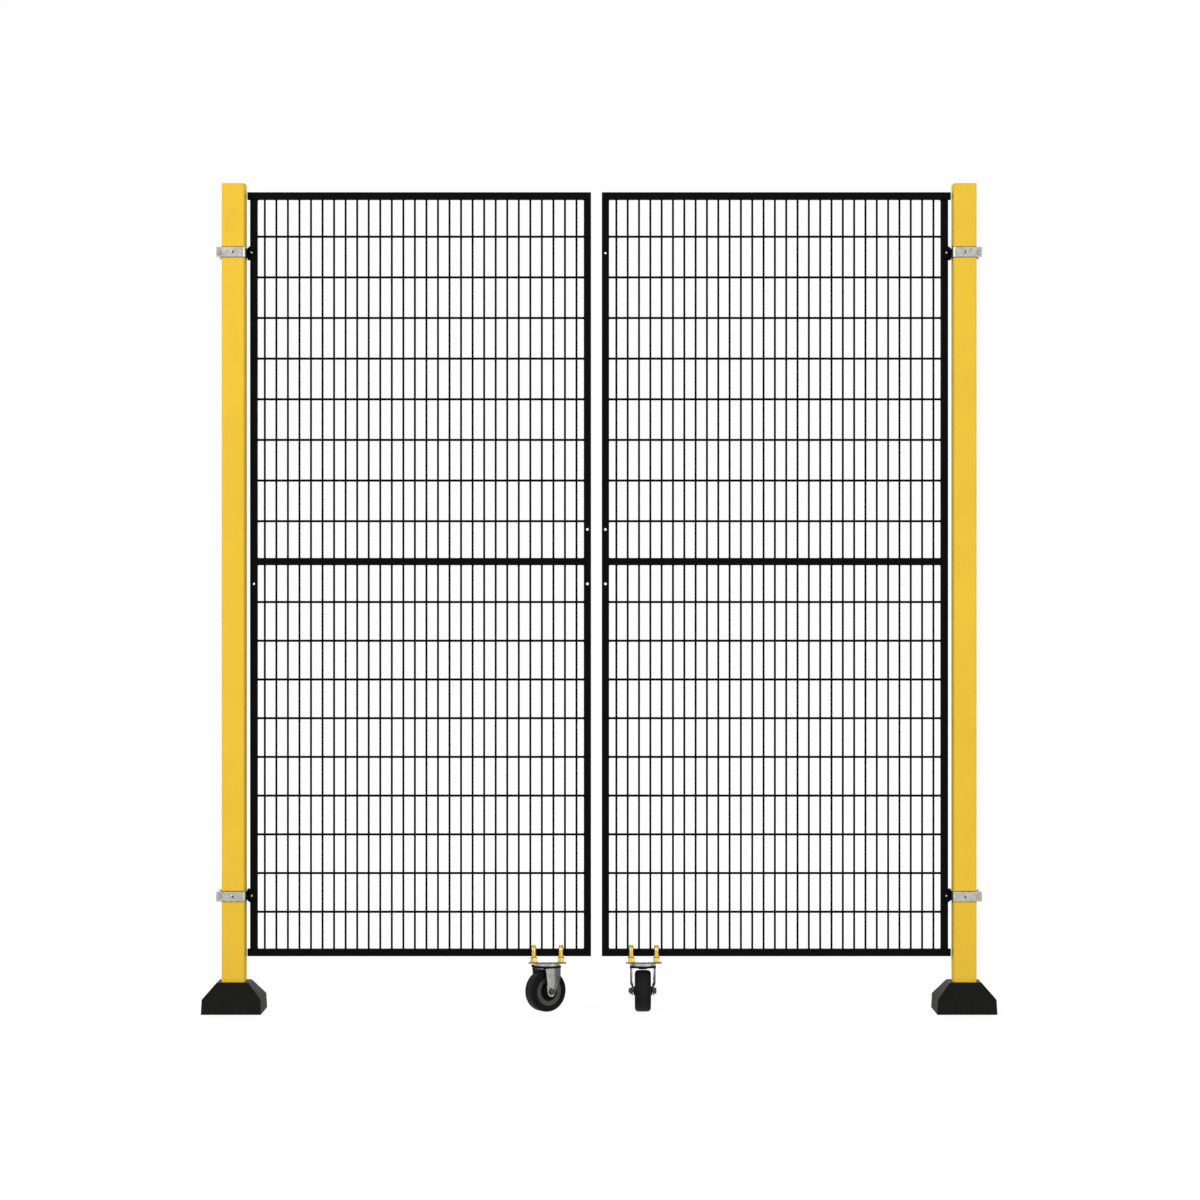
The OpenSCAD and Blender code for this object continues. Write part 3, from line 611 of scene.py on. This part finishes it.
for side in SIDES:
    bm = bmesh.new()
    stile_low, stile_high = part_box(f"{side}_hinge_stile")
    meet_low, meet_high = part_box(f"{side}_meeting_stile")
    inner = (stile_high.x, meet_low.x) if side == "left" else (stile_low.x, meet_high.x)
    outer = stile_low.x if side == "left" else stile_high.x
    mid_low, mid_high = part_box(f"{side}_middle_rail")
    for z in (stile_low.z, stile_high.z):
        for x in (*inner, outer):
            bead(bm, x, z)
    for z in (mid_low.z, mid_high.z):
        for x in inner:
            bead(bm, x, z)
    piece(f"{side}_frame_welds", bm, f"{side}_leaf", frame_black)
print("weld beads run", round(2 * BEAD_REACH / MM), "mm across the tubes")

# %% [markdown]
# ## Screws, bolts and nuts
#
# A hexagon head is a six-sided prism whose top edges are broken by a small bevel. All
# fasteners are drawn along +Z from the face that they press on, and a matrix then turns
# them into place. What is round is turned: a profile is spun round the axis.


# %% Fastener helpers
def facing_matrix(point, direction):
    """Puts +Z of a fastener along direction, with its seat at point."""
    turn = Vector(direction).to_track_quat("Z", "Y").to_matrix().to_4x4()
    return Matrix.Translation(point) @ turn


def hexagon(bm, place, flats, low, high, chamfer=True):
    """A hexagonal head or nut, flats wide, between two heights along the fastener."""
    to_corner = flats / math.sqrt(3)
    made = bmesh.ops.create_cone(
        bm, cap_ends=True, segments=6, radius1=to_corner, radius2=to_corner,
        depth=high - low, matrix=place @ Matrix.Translation((0, 0, (low + high) / 2)))
    if chamfer:
        centre = place @ Vector((0, 0, (low + high) / 2))
        axis = (place.to_3x3() @ Vector((0, 0, 1))).normalized()
        top = [v for v in made["verts"] if (v.co - centre).dot(axis) > 0]
        top_face = next(f for f in top[0].link_faces if all(v in top for v in f.verts))
        bmesh.ops.bevel(bm, geom=list(top_face.edges), offset=flats * 0.07, segments=2,
                        profile=0.5, affect="EDGES", material=-1)


def turned(bm, place, profile, steps=24):
    """A turned solid, its profile given as (radius, height) points in order."""
    verts = [bm.verts.new(place @ Vector((r, 0, z))) for r, z in profile]
    edges = [bm.edges.new(pair) for pair in zip(verts, verts[1:])]
    axis = place.to_3x3() @ Vector((0, 0, 1))
    bmesh.ops.spin(bm, geom=verts + edges, cent=place.translation, axis=axis,
                   angle=math.tau, steps=steps, use_merge=True, use_duplicate=False)
    bmesh.ops.remove_doubles(bm, verts=bm.verts, dist=1e-7)


def washer(bm, place, radius, low, high):
    """A washer with its rim broken. Its hole is filled by the bolt, so it has none."""
    rim = 0.2 * MM
    turned(bm, place, [(0, low), (radius - rim, low), (radius, low + rim),
                       (radius, high - rim), (radius - rim, high), (0, high)])


def thread(bm, place, radius, low, high, pitch):
    """Thread ridges as a row of turned rings, which reads as a thread at this size."""
    count = max(1, round((high - low) / pitch))
    step = (high - low) / count
    root = radius - 0.45 * pitch
    profile = [(0, low)]
    for i in range(count):
        z = low + i * step
        profile += [(root, z), (radius, z + step / 2)]
    profile += [(root, high), (0, high + 0.3 * pitch)]
    turned(bm, place, profile, 20)


# %% [markdown]
# ### Clamp bolts
#
# Each strap is drawn tight on its post by one bolt through both ears, with a washer
# under its head and another under its nut.

# %% Clamp bolts
M8_R, M8_PITCH, M8_FLATS = 4 * MM, 1.25 * MM, 13 * MM
HEAD_H, NUT_H, WASHER_T = 5.3 * MM, 6.5 * MM, 1.0 * MM
HEAD_WASHER_R, NUT_WASHER_R = 7 * MM, 8 * MM
BOLT_END = 3 * MM  # how far the thread stands out of its nut
HEAD_HALF = 7.5 * MM  # from the ends of the solid's bolts to their axes

for side in SIDES:
    bm = bmesh.new()
    low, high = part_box(f"{side}_clamp_bolts")
    strap_low, strap_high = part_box(f"{side}_clamp_straps")
    x = (low.x + high.x) / 2
    heights = (low.z + HEAD_HALF, high.z - HEAD_HALF)
    for z in heights:
        head = facing_matrix((x, strap_low.y, z), (0, -1, 0))
        nut = facing_matrix((x, strap_high.y, z), (0, 1, 0))
        washer(bm, head, HEAD_WASHER_R, 0, WASHER_T)
        hexagon(bm, head, M8_FLATS, WASHER_T, HEAD_H)
        washer(bm, nut, NUT_WASHER_R, 0, WASHER_T)
        hexagon(bm, nut, M8_FLATS, WASHER_T, NUT_H)
        thread(bm, nut, M8_R, NUT_H, NUT_H + BOLT_END, M8_PITCH)
        bar(bm, (x, strap_low.y, z), (x, strap_high.y, z), M8_R, 20)
    piece(f"{side}_strap_bolts", bm, "posts", zinc_fork, (f"{side}_clamp_bolts",))
    print(side, "clamp bolts at", [round(z, 3) for z in heights])

# %% [markdown]
# ### Button screws
#
# A button-head screw pins each strap to the post, and a smaller one holds each hinge
# bracket to its stile. A button head is a low dome with a hexagon socket.


# %% Button screws
STRAP_HALF = 13 * MM  # half the width of a strap
STRAP_SCREW = (5.5 * MM, 3 * MM, 2.9 * MM)  # radius, height and radius of the socket
BRACKET_SCREW = (2.8 * MM, 1.6 * MM, 1.3 * MM)
SOCKET_REACH = 2.8 * MM  # a face nearer a strap screw's axis than this is in its socket
BRACKET_OFF = 4.5 * MM  # from the stile's middle to the screw
BRACKET_T = 2.5 * MM  # thickness of the bracket's sheet


def button(bm, place, radius, height, socket):
    """A button head on its seat, with a hexagonal floor in its socket."""
    profile = [(0, 0.4 * height), (socket, 0.4 * height), (socket, height)]
    profile += [(socket + (radius - socket) * math.sin(a), height * math.cos(a) ** 0.8)
                for a in (math.radians(t) for t in (20, 40, 55, 70, 80))]
    profile += [(radius, 0), (0, 0)]
    turned(bm, place, profile)
    hexagon(bm, place, socket * 1.7, 0.4 * height, 0.45 * height, chamfer=False)


for side in SIDES:
    outward = -1 if side == "left" else 1
    strap_low, strap_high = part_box(f"{side}_clamp_straps")
    post_low, post_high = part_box(f"{side}_post")
    post_x = (post_low.x + post_high.x) / 2
    stile_low, stile_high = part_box(f"{side}_hinge_stile")
    bracket_x = (stile_low.x + stile_high.x) / 2 + outward * BRACKET_OFF
    strap_screws, bracket_screws = bmesh.new(), bmesh.new()
    heights = (strap_low.z + STRAP_HALF, strap_high.z - STRAP_HALF)
    for z in heights:
        for y, way in ((strap_low.y, -1), (strap_high.y, 1)):
            button(strap_screws, facing_matrix((post_x, y, z), (0, way, 0)), *STRAP_SCREW)
        seat = (bracket_x, stile_low.y - BRACKET_T, z)
        button(bracket_screws, facing_matrix(seat, (0, -1, 0)), *BRACKET_SCREW)
    screws = piece(f"{side}_strap_screws", strap_screws, "posts", zinc_strap)
    # The socket of each strap screw is painted dark, as painted shade in the recess.
    screws.data.materials.append(dull_zinc_and_shade)
    for polygon in screws.data.polygons:
        up = min(abs(polygon.center.z - z) for z in heights)
        if math.hypot(polygon.center.x - post_x, up) < SOCKET_REACH:
            polygon.material_index = 1
    piece(f"{side}_bracket_screws", bracket_screws, f"{side}_leaf", zinc_strap)
    print(side, "button screws at", [round(z, 3) for z in heights])

# %% [markdown]
# ## U-bolts
#
# Two U-bolts hold each caster's plate to the bottom rail. The rod is one tube: a ring of
# edges is pulled up a leg, swung round a bend, pulled across the rail, swung round the
# other bend and pulled down the other leg. Each leg ends in a thread, with a washer and
# a nut on the plate.


# %% U-bolts
ROD_R, ROD_PITCH, THREAD_L = 6.2 * MM, 1.75 * MM, 17 * MM
BEND_R = 8.5 * MM
M12_FLATS, M12_NUT_T = 18.5 * MM, 8.8 * MM
M12_WASHER_R, M12_WASHER_T = 10 * MM, 1.2 * MM
CAD_NUT = 19 * MM  # across the flats of the solid's nuts, which reach out along Y


def pull(bm, loop, by):
    """Extrudes a loop of edges along a vector and returns the new loop."""
    made = bmesh.ops.extrude_edge_only(bm, edges=loop)["geom"]
    fresh = [v for v in made if isinstance(v, bmesh.types.BMVert)]
    bmesh.ops.translate(bm, verts=fresh, vec=by)
    return [e for e in made
            if isinstance(e, bmesh.types.BMEdge) and all(v in fresh for v in e.verts)]


def swing(bm, loop, centre):
    """Spins a loop of edges a quarter turn about X and returns the last loop."""
    corners = list(dict.fromkeys(v for e in loop for v in e.verts))
    made = bmesh.ops.spin(bm, geom=corners + loop, cent=centre, axis=(1, 0, 0),
                          angle=-math.radians(90), steps=10, use_merge=False,
                          use_duplicate=False)
    return [e for e in made["geom_last"] if isinstance(e, bmesh.types.BMEdge)]


def u_bolt(bm, x, leg_y, low_z, bar_z, nut_z):
    """A U-bolt over the rail: where its legs stand, end and cross, and its nuts' seat."""
    thread_top, knee = low_z + THREAD_L, bar_z - BEND_R
    ring = bmesh.ops.create_circle(bm, cap_ends=False, segments=20, radius=ROD_R,
                                   matrix=Matrix.Translation((x, -leg_y, thread_top)))
    first = list(dict.fromkeys(e for v in ring["verts"] for e in v.link_edges))
    loop = pull(bm, first, (0, 0, knee - thread_top))
    loop = swing(bm, loop, (x, BEND_R - leg_y, knee))
    loop = pull(bm, loop, (0, 2 * (leg_y - BEND_R), 0))
    loop = swing(bm, loop, (x, leg_y - BEND_R, knee))
    loop = pull(bm, loop, (0, 0, thread_top - knee))
    for end in (first, loop):
        bmesh.ops.edgeloop_fill(bm, edges=end)
    nut_low = nut_z + M12_WASHER_T
    for way in (-1, 1):
        leg = Matrix.Translation((x, way * leg_y, 0))
        thread(bm, leg, ROD_R, low_z, thread_top, ROD_PITCH)
        washer(bm, leg, M12_WASHER_R, nut_z, nut_low)
        hexagon(bm, leg, M12_FLATS, nut_low, nut_low + M12_NUT_T)


for side in SIDES:
    low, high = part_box(f"{side}_caster_ubolts")
    plate_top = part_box(f"{side}_caster_plate")[1].z
    nut_half = CAD_NUT / math.sqrt(3)
    bm = bmesh.new()
    for x in (low.x + nut_half, high.x - nut_half):
        u_bolt(bm, x, high.y - CAD_NUT / 2, low.z, high.z - ROD_R, plate_top)
    piece(f"{side}_u_bolts", bm, f"{side}_leaf", yellow_zinc,
          (f"{side}_caster_ubolts",))
    print(side, "U-bolts stand", round((high.z - low.z) / MM, 1), "mm high")

# %% [markdown]
# ## The casters
#
# The frame's joints say where each wheel turns and which way its axle points, so the
# round pieces are drawn along that axle. They are right however the caster stands.

# %% Caster places
joints = {joint["name"]: joint for joint in frame["joints"]}


def caster_matrix(side):
    """Takes +Z onto the axle, and the origin to the middle of the wheel."""
    spin = joints[f"{side}_wheel_spin"]
    return facing_matrix(spin["pos_m"], spin["axis"])


# %% [markdown]
# ### Tyre and rim
#
# A tyre is a section spun round its axle. The section has a flat tread with two fine
# moulding lines, round shoulders and a slightly hollow sidewall. The rim has a broad
# sloping ring, a dish and a hub. Only half of each section is written down, as (radius,
# distance from the wheel's middle) in mm, and the other half is its mirror image.

# %% Tyre and rim
TYRE_HALF = [(38.0, 17.6), (39.6, 19.6), (42.0, 20.6), (46.0, 20.9), (49.0, 20.0),
             (51.2, 18.4), (52.8, 16.0), (53.6, 13.2), (53.95, 10.4), (53.6, 10.0),
             (53.6, 9.6), (54.0, 9.2), (54.0, 0.0)]
RIM_HALF = [(5.1, 24.5), (10.4, 24.5), (11.4, 23.7), (12.4, 17.5), (15.0, 12.6),
            (19.5, 10.4), (22.6, 11.4), (24.4, 15.2), (25.4, 16.4), (30.0, 17.0),
            (36.6, 17.4), (37.4, 17.2), (38.0, 16.4)]


def section(half):
    """A closed section in metres from half of it in mm."""
    mirrored = [(r, -x) for r, x in reversed(half)]
    whole = half + [point for point in mirrored if point not in half] + [half[0]]
    return [(r * MM, x * MM) for r, x in whole]


for side in SIDES:
    place = caster_matrix(side)
    bm = bmesh.new()
    turned(bm, place, section(TYRE_HALF), 96)
    piece(f"{side}_tyre", bm, f"{side}_wheel", tyre_black, (f"{side}_wheel_tyre",))
    bm = bmesh.new()
    turned(bm, place, section(RIM_HALF), 72)
    piece(f"{side}_rim", bm, f"{side}_wheel", rim_black, (f"{side}_wheel_rim",))
    print(side, "wheel at", [round(c, 4) for c in place.translation])

# %% [markdown]
# ### Axle bolt
#
# The axle is a bolt with a washer at each end, a nut, and a short end of thread.

# %% Axle bolt
AXLE_R, AXLE_HALF = 5 * MM, 30 * MM
AXLE_WASHER_R, AXLE_FLATS = 9 * MM, 14 * MM
LEG_FACE, HEAD_SEAT, HEAD_TOP = 29.5 * MM, 30.5 * MM, 35.5 * MM  # from the wheel's middle
TAIL_R, TAIL_PITCH, TAIL_END = 4.5 * MM, 1.5 * MM, 37.5 * MM

for side in SIDES:
    place = caster_matrix(side)
    nut_side = place @ Matrix.Rotation(math.pi, 4, "X")
    bm = bmesh.new()
    for end in (place, nut_side):
        washer(bm, end, AXLE_WASHER_R, LEG_FACE, HEAD_SEAT)
        hexagon(bm, end, AXLE_FLATS, HEAD_SEAT, HEAD_TOP)
    thread(bm, nut_side, TAIL_R, HEAD_TOP, TAIL_END, TAIL_PITCH)
    bar(bm, place @ Vector((0, 0, -AXLE_HALF)), place @ Vector((0, 0, AXLE_HALF)), AXLE_R, 20)
    piece(f"{side}_axle_bolt", bm, f"{side}_caster", dull_zinc_and_shade,
          (f"{side}_caster_axle",))

# %% [markdown]
# ### Shade band and boss
#
# A black band round the fork's crown paints the shade that lies between the crown and
# the ball race. It follows the crown's outline, a disc on a plate, so each of its points
# is the farther of the two along one direction from the swivel. Under the crown, a turned
# boss holds the king pin. It is black as painted shade under the crown.

# %% Shade band and boss
# All in mm, measured from the swivel's axis and the top of the crown.
CROWN_R = 33.0
CROWN_PLATE = [(33.0, -27.0), (33.0, 1.0), (29.7, 21.7),
               (-29.7, 21.7), (-33.0, 1.0), (-33.0, -27.0)]
BAND_OUT, BAND_IN = 0.7, 0.4  # how far its faces lie from the outline
BAND_TOP, BAND_BOTTOM = 0.2, -5.3
BAND_STEPS = 96
BOSS = [(0, -4.0), (15.0, -4.0), (14.6, -5.0), (12.0, -9.4), (10.6, -10.0), (0, -10.2)]


def fork_matrix(side):
    """Local axes of a fork: X along the axle, Z up, at the top of its crown."""
    swivel = joints[f"{side}_caster_swivel"]["pos_m"]
    axle = joints[f"{side}_wheel_spin"]["axis"]
    crown_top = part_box(f"{side}_caster_fork")[1].z
    turn = Matrix.Rotation(math.atan2(axle[1], axle[0]), 4, "Z")
    return Matrix.Translation((swivel[0], swivel[1], crown_top)) @ turn


def crown_reach(angle):
    """Distance in mm from the swivel to the crown's outline in one direction."""
    along = Vector((math.cos(angle), math.sin(angle)))
    reach = CROWN_R
    for (ax, ay), (bx, by) in zip(CROWN_PLATE, CROWN_PLATE[1:] + CROWN_PLATE[:1]):
        edge = Vector((bx - ax, by - ay))
        cross = along.x * edge.y - along.y * edge.x
        if abs(cross) > 1e-6:
            far = (ax * edge.y - ay * edge.x) / cross
            share = (ax * along.y - ay * along.x) / cross
            if far > 0 and -1e-6 <= share <= 1 + 1e-6:
                reach = max(reach, far)
    return reach


def shade_band(bm, place):
    """A band round the crown: its outline, pulled down and then given a wall."""
    corners = [math.atan2(y, x) % math.tau for x, y in CROWN_PLATE]
    angles = sorted([math.tau * i / BAND_STEPS for i in range(BAND_STEPS)] + corners)
    outline = []
    for angle in angles:
        reach = (crown_reach(angle) - BAND_IN) * MM
        point = (reach * math.cos(angle), reach * math.sin(angle), BAND_TOP * MM)
        outline.append(bm.verts.new(place @ Vector(point)))
    edges = [bm.edges.new(pair) for pair in zip(outline, outline[1:] + outline[:1])]
    pulled = bmesh.ops.extrude_edge_only(bm, edges=edges)["geom"]
    lower = [v for v in pulled if isinstance(v, bmesh.types.BMVert)]
    bmesh.ops.translate(bm, verts=lower, vec=(0, 0, (BAND_BOTTOM - BAND_TOP) * MM))
    for face in bm.faces:  # the wall grows away from the side that the faces look to
        if face.normal.dot(face.calc_center_median() - place.translation) > 0:
            face.normal_flip()
    bmesh.ops.solidify(bm, geom=list(bm.faces), thickness=(BAND_OUT + BAND_IN) * MM)


for side in SIDES:
    # The black band paints the shade round each crown, and the boss is black as painted shade
    # under it.
    bm = bmesh.new()
    shade_band(bm, fork_matrix(side))
    piece(f"{side}_swivel_shade_band", bm, f"{side}_caster", painted_shade_black)
    bm = bmesh.new()
    turned(bm, fork_matrix(side), [(r * MM, z * MM) for r, z in BOSS], 40)
    piece(f"{side}_king_pin_boss", bm, f"{side}_leaf", painted_shade_black)
    back_corner = crown_reach(math.radians(220)) + BAND_OUT
    print(side, "skirt reaches", round(back_corner, 1), "mm at the back corner")

# %% [markdown]
# ### Painted shade and light on the caster
#
# Some faces of a piece get another material that paints the light and shade falling on
# them. The front and back edges of each fork leg and the rim of the top plate are painted
# dark, as painted shade. The folded front flange of each leg is painted darker than the
# flat of the leg, as painted shade. The inner sides of the legs get the pale plate zinc,
# as painted light. The head under the plate, the rim's dish and the tread take finishes
# of their own, and so on: one piece can have several finishes. A face is picked by the
# way that it faces or by where it lies, and gets another material.


# %% Painted shade and light on the caster
EDGE_DEPTH, HEAD_DEPTH = 3.5 * MM, 4.1 * MM  # below the top of the caster's plate
DISH_R, TREAD_HALF = 26.5 * MM, 13.5 * MM


def repaint(name, material, chosen):
    """Gives another material to the faces of a piece that chosen() picks."""
    mesh = bpy.data.objects[name].data
    mesh.materials.append(material)
    picked = [polygon for polygon in mesh.polygons if chosen(polygon)]
    for polygon in picked:
        polygon.material_index = len(mesh.materials) - 1
    return len(picked)


def on_fork(side, material, chosen):
    """Repaints the faces of a fork that chosen(normal, centre) picks in its own axes."""
    to_fork = fork_matrix(side).inverted()
    turn = to_fork.to_3x3()
    return repaint(f"{side}_caster_fork_skin", material,
                   lambda p: chosen(turn @ p.normal, to_fork @ p.center))


for side in SIDES:
    # Fork edges and flanges are painted dark as painted shade, and the legs' inner sides are
    # painted pale as painted light.
    edges = on_fork(side, dull_zinc_and_shade, lambda normal, centre: abs(normal.y) > 0.8)
    flanges = on_fork(side, zinc_flange_shade, lambda normal, centre: 0.12 < abs(normal.y) < 0.2)
    inner = on_fork(side, zinc_plate,
                    lambda normal, centre: abs(normal.x) > 0.95 and normal.x * centre.x < 0)
    print(side, "fork:", edges, "edge,", flanges, "flange and", inner, "inner faces")

    plate_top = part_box(f"{side}_caster_plate")[1].z
    # The rim of the plate is painted dark as painted shade. The head below it takes the fork's
    # zinc.
    rims = repaint(f"{side}_caster_plate_skin", dull_zinc_and_shade,
                   lambda p: abs(p.normal.z) < 0.3 and p.center.z > plate_top - EDGE_DEPTH)
    heads = repaint(f"{side}_caster_plate_skin", zinc_fork,
                    lambda p: p.center.z < plate_top - HEAD_DEPTH)
    print(side, "plate:", rims, "rim and", heads, "head faces")

    to_wheel = caster_matrix(side).inverted()
    dish = repaint(f"{side}_rim", tyre_black,
                   lambda p: (to_wheel @ p.center).xy.length < DISH_R)
    # The tread is painted paler, partly as wear and partly as painted sheen.
    tread = repaint(f"{side}_tyre", tread_worn_sheen,
                    lambda p: abs((to_wheel @ p.center).z) < TREAD_HALF)
    print(side, "wheel:", dish, "dish and", tread, "tread faces")

# %% [markdown]
# ### Strap shade rims
#
# A thin black band lies between each strap and the post. Only its rim shows, as a dark
# line above and below the strap: painted shade for the strap's contact shadow on the post.

# %% Strap shade rims
SHADE_RIM_W, SHADE_RIM_H = 61.4 * MM, 28.6 * MM
SHADE_RIM_CORNER_R = 5.7 * MM

for side in SIDES:
    strap_low, strap_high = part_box(f"{side}_clamp_straps")
    post_low, post_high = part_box(f"{side}_post")
    centre = (post_low + post_high) / 2
    bm = bmesh.new()
    for z in (strap_low.z + STRAP_HALF, strap_high.z - STRAP_HALF):
        block = (Matrix.Translation((centre.x, centre.y, z))
                 @ Matrix.Diagonal((SHADE_RIM_W, SHADE_RIM_W, SHADE_RIM_H, 1)))
        made = bmesh.ops.create_cube(bm, size=1, matrix=block)
        edges = dict.fromkeys(e for v in made["verts"] for e in v.link_edges)
        upright = [e for e in edges if abs(e.verts[0].co.z - e.verts[1].co.z) > SHADE_RIM_H / 2]
        bmesh.ops.bevel(bm, geom=upright, offset=SHADE_RIM_CORNER_R, segments=5, profile=0.5,
                        affect="EDGES", material=-1)
    # The rims paint the contact shadow above and below each strap.
    piece(f"{side}_strap_shade_rims", bm, "posts", painted_shade_black)
show = SHADE_RIM_H / 2 - STRAP_HALF
print("shade_rims show", round(show / MM, 1), "mm above and below each strap")

# %% [markdown]
# ## Floor and light
#
# The gate stands on a plain pale floor under soft studio light: a key and a fill from
# the front, far out so that they don't mirror in the flat faces, and a weaker lamp
# behind the gate. To the camera, and in reflections, the floor and the world are white,
# so that the lamps don't have to burn them out. The floor's own glow grows a little
# with distance, where the lamps reach it less. The rest of the floor's shade comes from
# the lamps, so that it still takes the gate's shadow.


# %% World
WHITE = (1, 1, 1, 1)


def seen_rays(tree):
    """1 for camera, glossy and transmission rays, 0 for the rest."""
    path = tree.nodes.new("ShaderNodeLightPath")
    seen = maths(tree, "MAXIMUM", path.outputs["Is Camera Ray"], path.outputs["Is Glossy Ray"])
    return maths(tree, "MAXIMUM", seen, path.outputs["Is Transmission Ray"])


world = bpy.data.worlds.new("studio")
bpy.context.scene.world = world
world.use_nodes = True
tree = world.node_tree
tree.nodes.clear()
soft_light = add(tree, "ShaderNodeBackground", Color=WHITE, Strength=0.62)
white = add(tree, "ShaderNodeBackground", Color=WHITE, Strength=1.0)
choose = tree.nodes.new("ShaderNodeMixShader")
wire(tree, seen_rays(tree), choose.inputs[0])
wire(tree, soft_light.outputs[0], choose.inputs[1])
wire(tree, white.outputs[0], choose.inputs[2])
wire(tree, choose.outputs[0], tree.nodes.new("ShaderNodeOutputWorld").inputs[0])
print("world:", [node.name for node in tree.nodes if node.type == "BACKGROUND"])

# %% Floor
MIDDLE_X = 0.95
FLOOR_HALF = 20
NEAR, FAR = 2.5, 8.0
NEAR_GLOW, FAR_GLOW, GLOW_SHARE = 1.158, 1.21, 0.78

bm = bmesh.new()
bmesh.ops.create_grid(bm, x_segments=1, y_segments=1, size=FLOOR_HALF)
bmesh.ops.translate(bm, verts=bm.verts, vec=(MIDDLE_X, 0, -0.5 * MM))
floor_mesh = bpy.data.meshes.new("floor")
bm.to_mesh(floor_mesh)
bm.free()
floor = bpy.data.objects.new("floor", floor_mesh)
bpy.context.scene.collection.objects.link(floor)
pale, tree, shader = finish("pale_floor", Base_Color=(0.5, 0.5, 0.5, 1), Roughness=0.9)
glow = add(tree, "ShaderNodeEmission", Color=WHITE)
away = tree.nodes.new("ShaderNodeVectorMath")
away.operation = "DISTANCE"
away.inputs[1].default_value = (MIDDLE_X, 0, 0)
wire(tree, tree.nodes.new("ShaderNodeTexCoord").outputs["Object"], away.inputs[0])
wire(tree, spread(tree, away.outputs["Value"], NEAR, FAR, NEAR_GLOW, FAR_GLOW),
     glow.inputs["Strength"])
choose = tree.nodes.new("ShaderNodeMixShader")
wire(tree, maths(tree, "MULTIPLY", seen_rays(tree), GLOW_SHARE), choose.inputs[0])
wire(tree, shader.outputs[0], choose.inputs[1])
wire(tree, glow.outputs[0], choose.inputs[2])
wire(tree, choose.outputs[0], tree.nodes["Material Output"].inputs[0])
floor_mesh.materials.append(pale)
print("floor:", 2 * FLOOR_HALF, "m wide")


# %% Lamps
AIM = Vector((MIDDLE_X, 0, 1.0))


def soft_box(name, place, size, power):
    """A round soft lamp that looks at the middle of the gate and isn't seen itself."""
    lamp = bpy.data.lights.new(name, "AREA")
    lamp.shape = "DISK"
    lamp.size = size
    lamp.energy = power
    obj = bpy.data.objects.new(name, lamp)
    obj.location = place
    obj.rotation_euler = (AIM - Vector(place)).to_track_quat("-Z", "Y").to_euler()
    obj.visible_camera = False
    bpy.context.scene.collection.objects.link(obj)
    return obj


key = soft_box("key", (-4.4, -5.2, 3.8), 3.0, 270)
fill = soft_box("fill", (6.6, -5.4, 2.0), 3.0, 184)
back = soft_box("back", (MIDDLE_X, 6.2, 3.4), 4.0, 150)
bpy.context.scene.view_settings.view_transform = "Standard"
print("lamps:", key.name, fill.name, back.name)
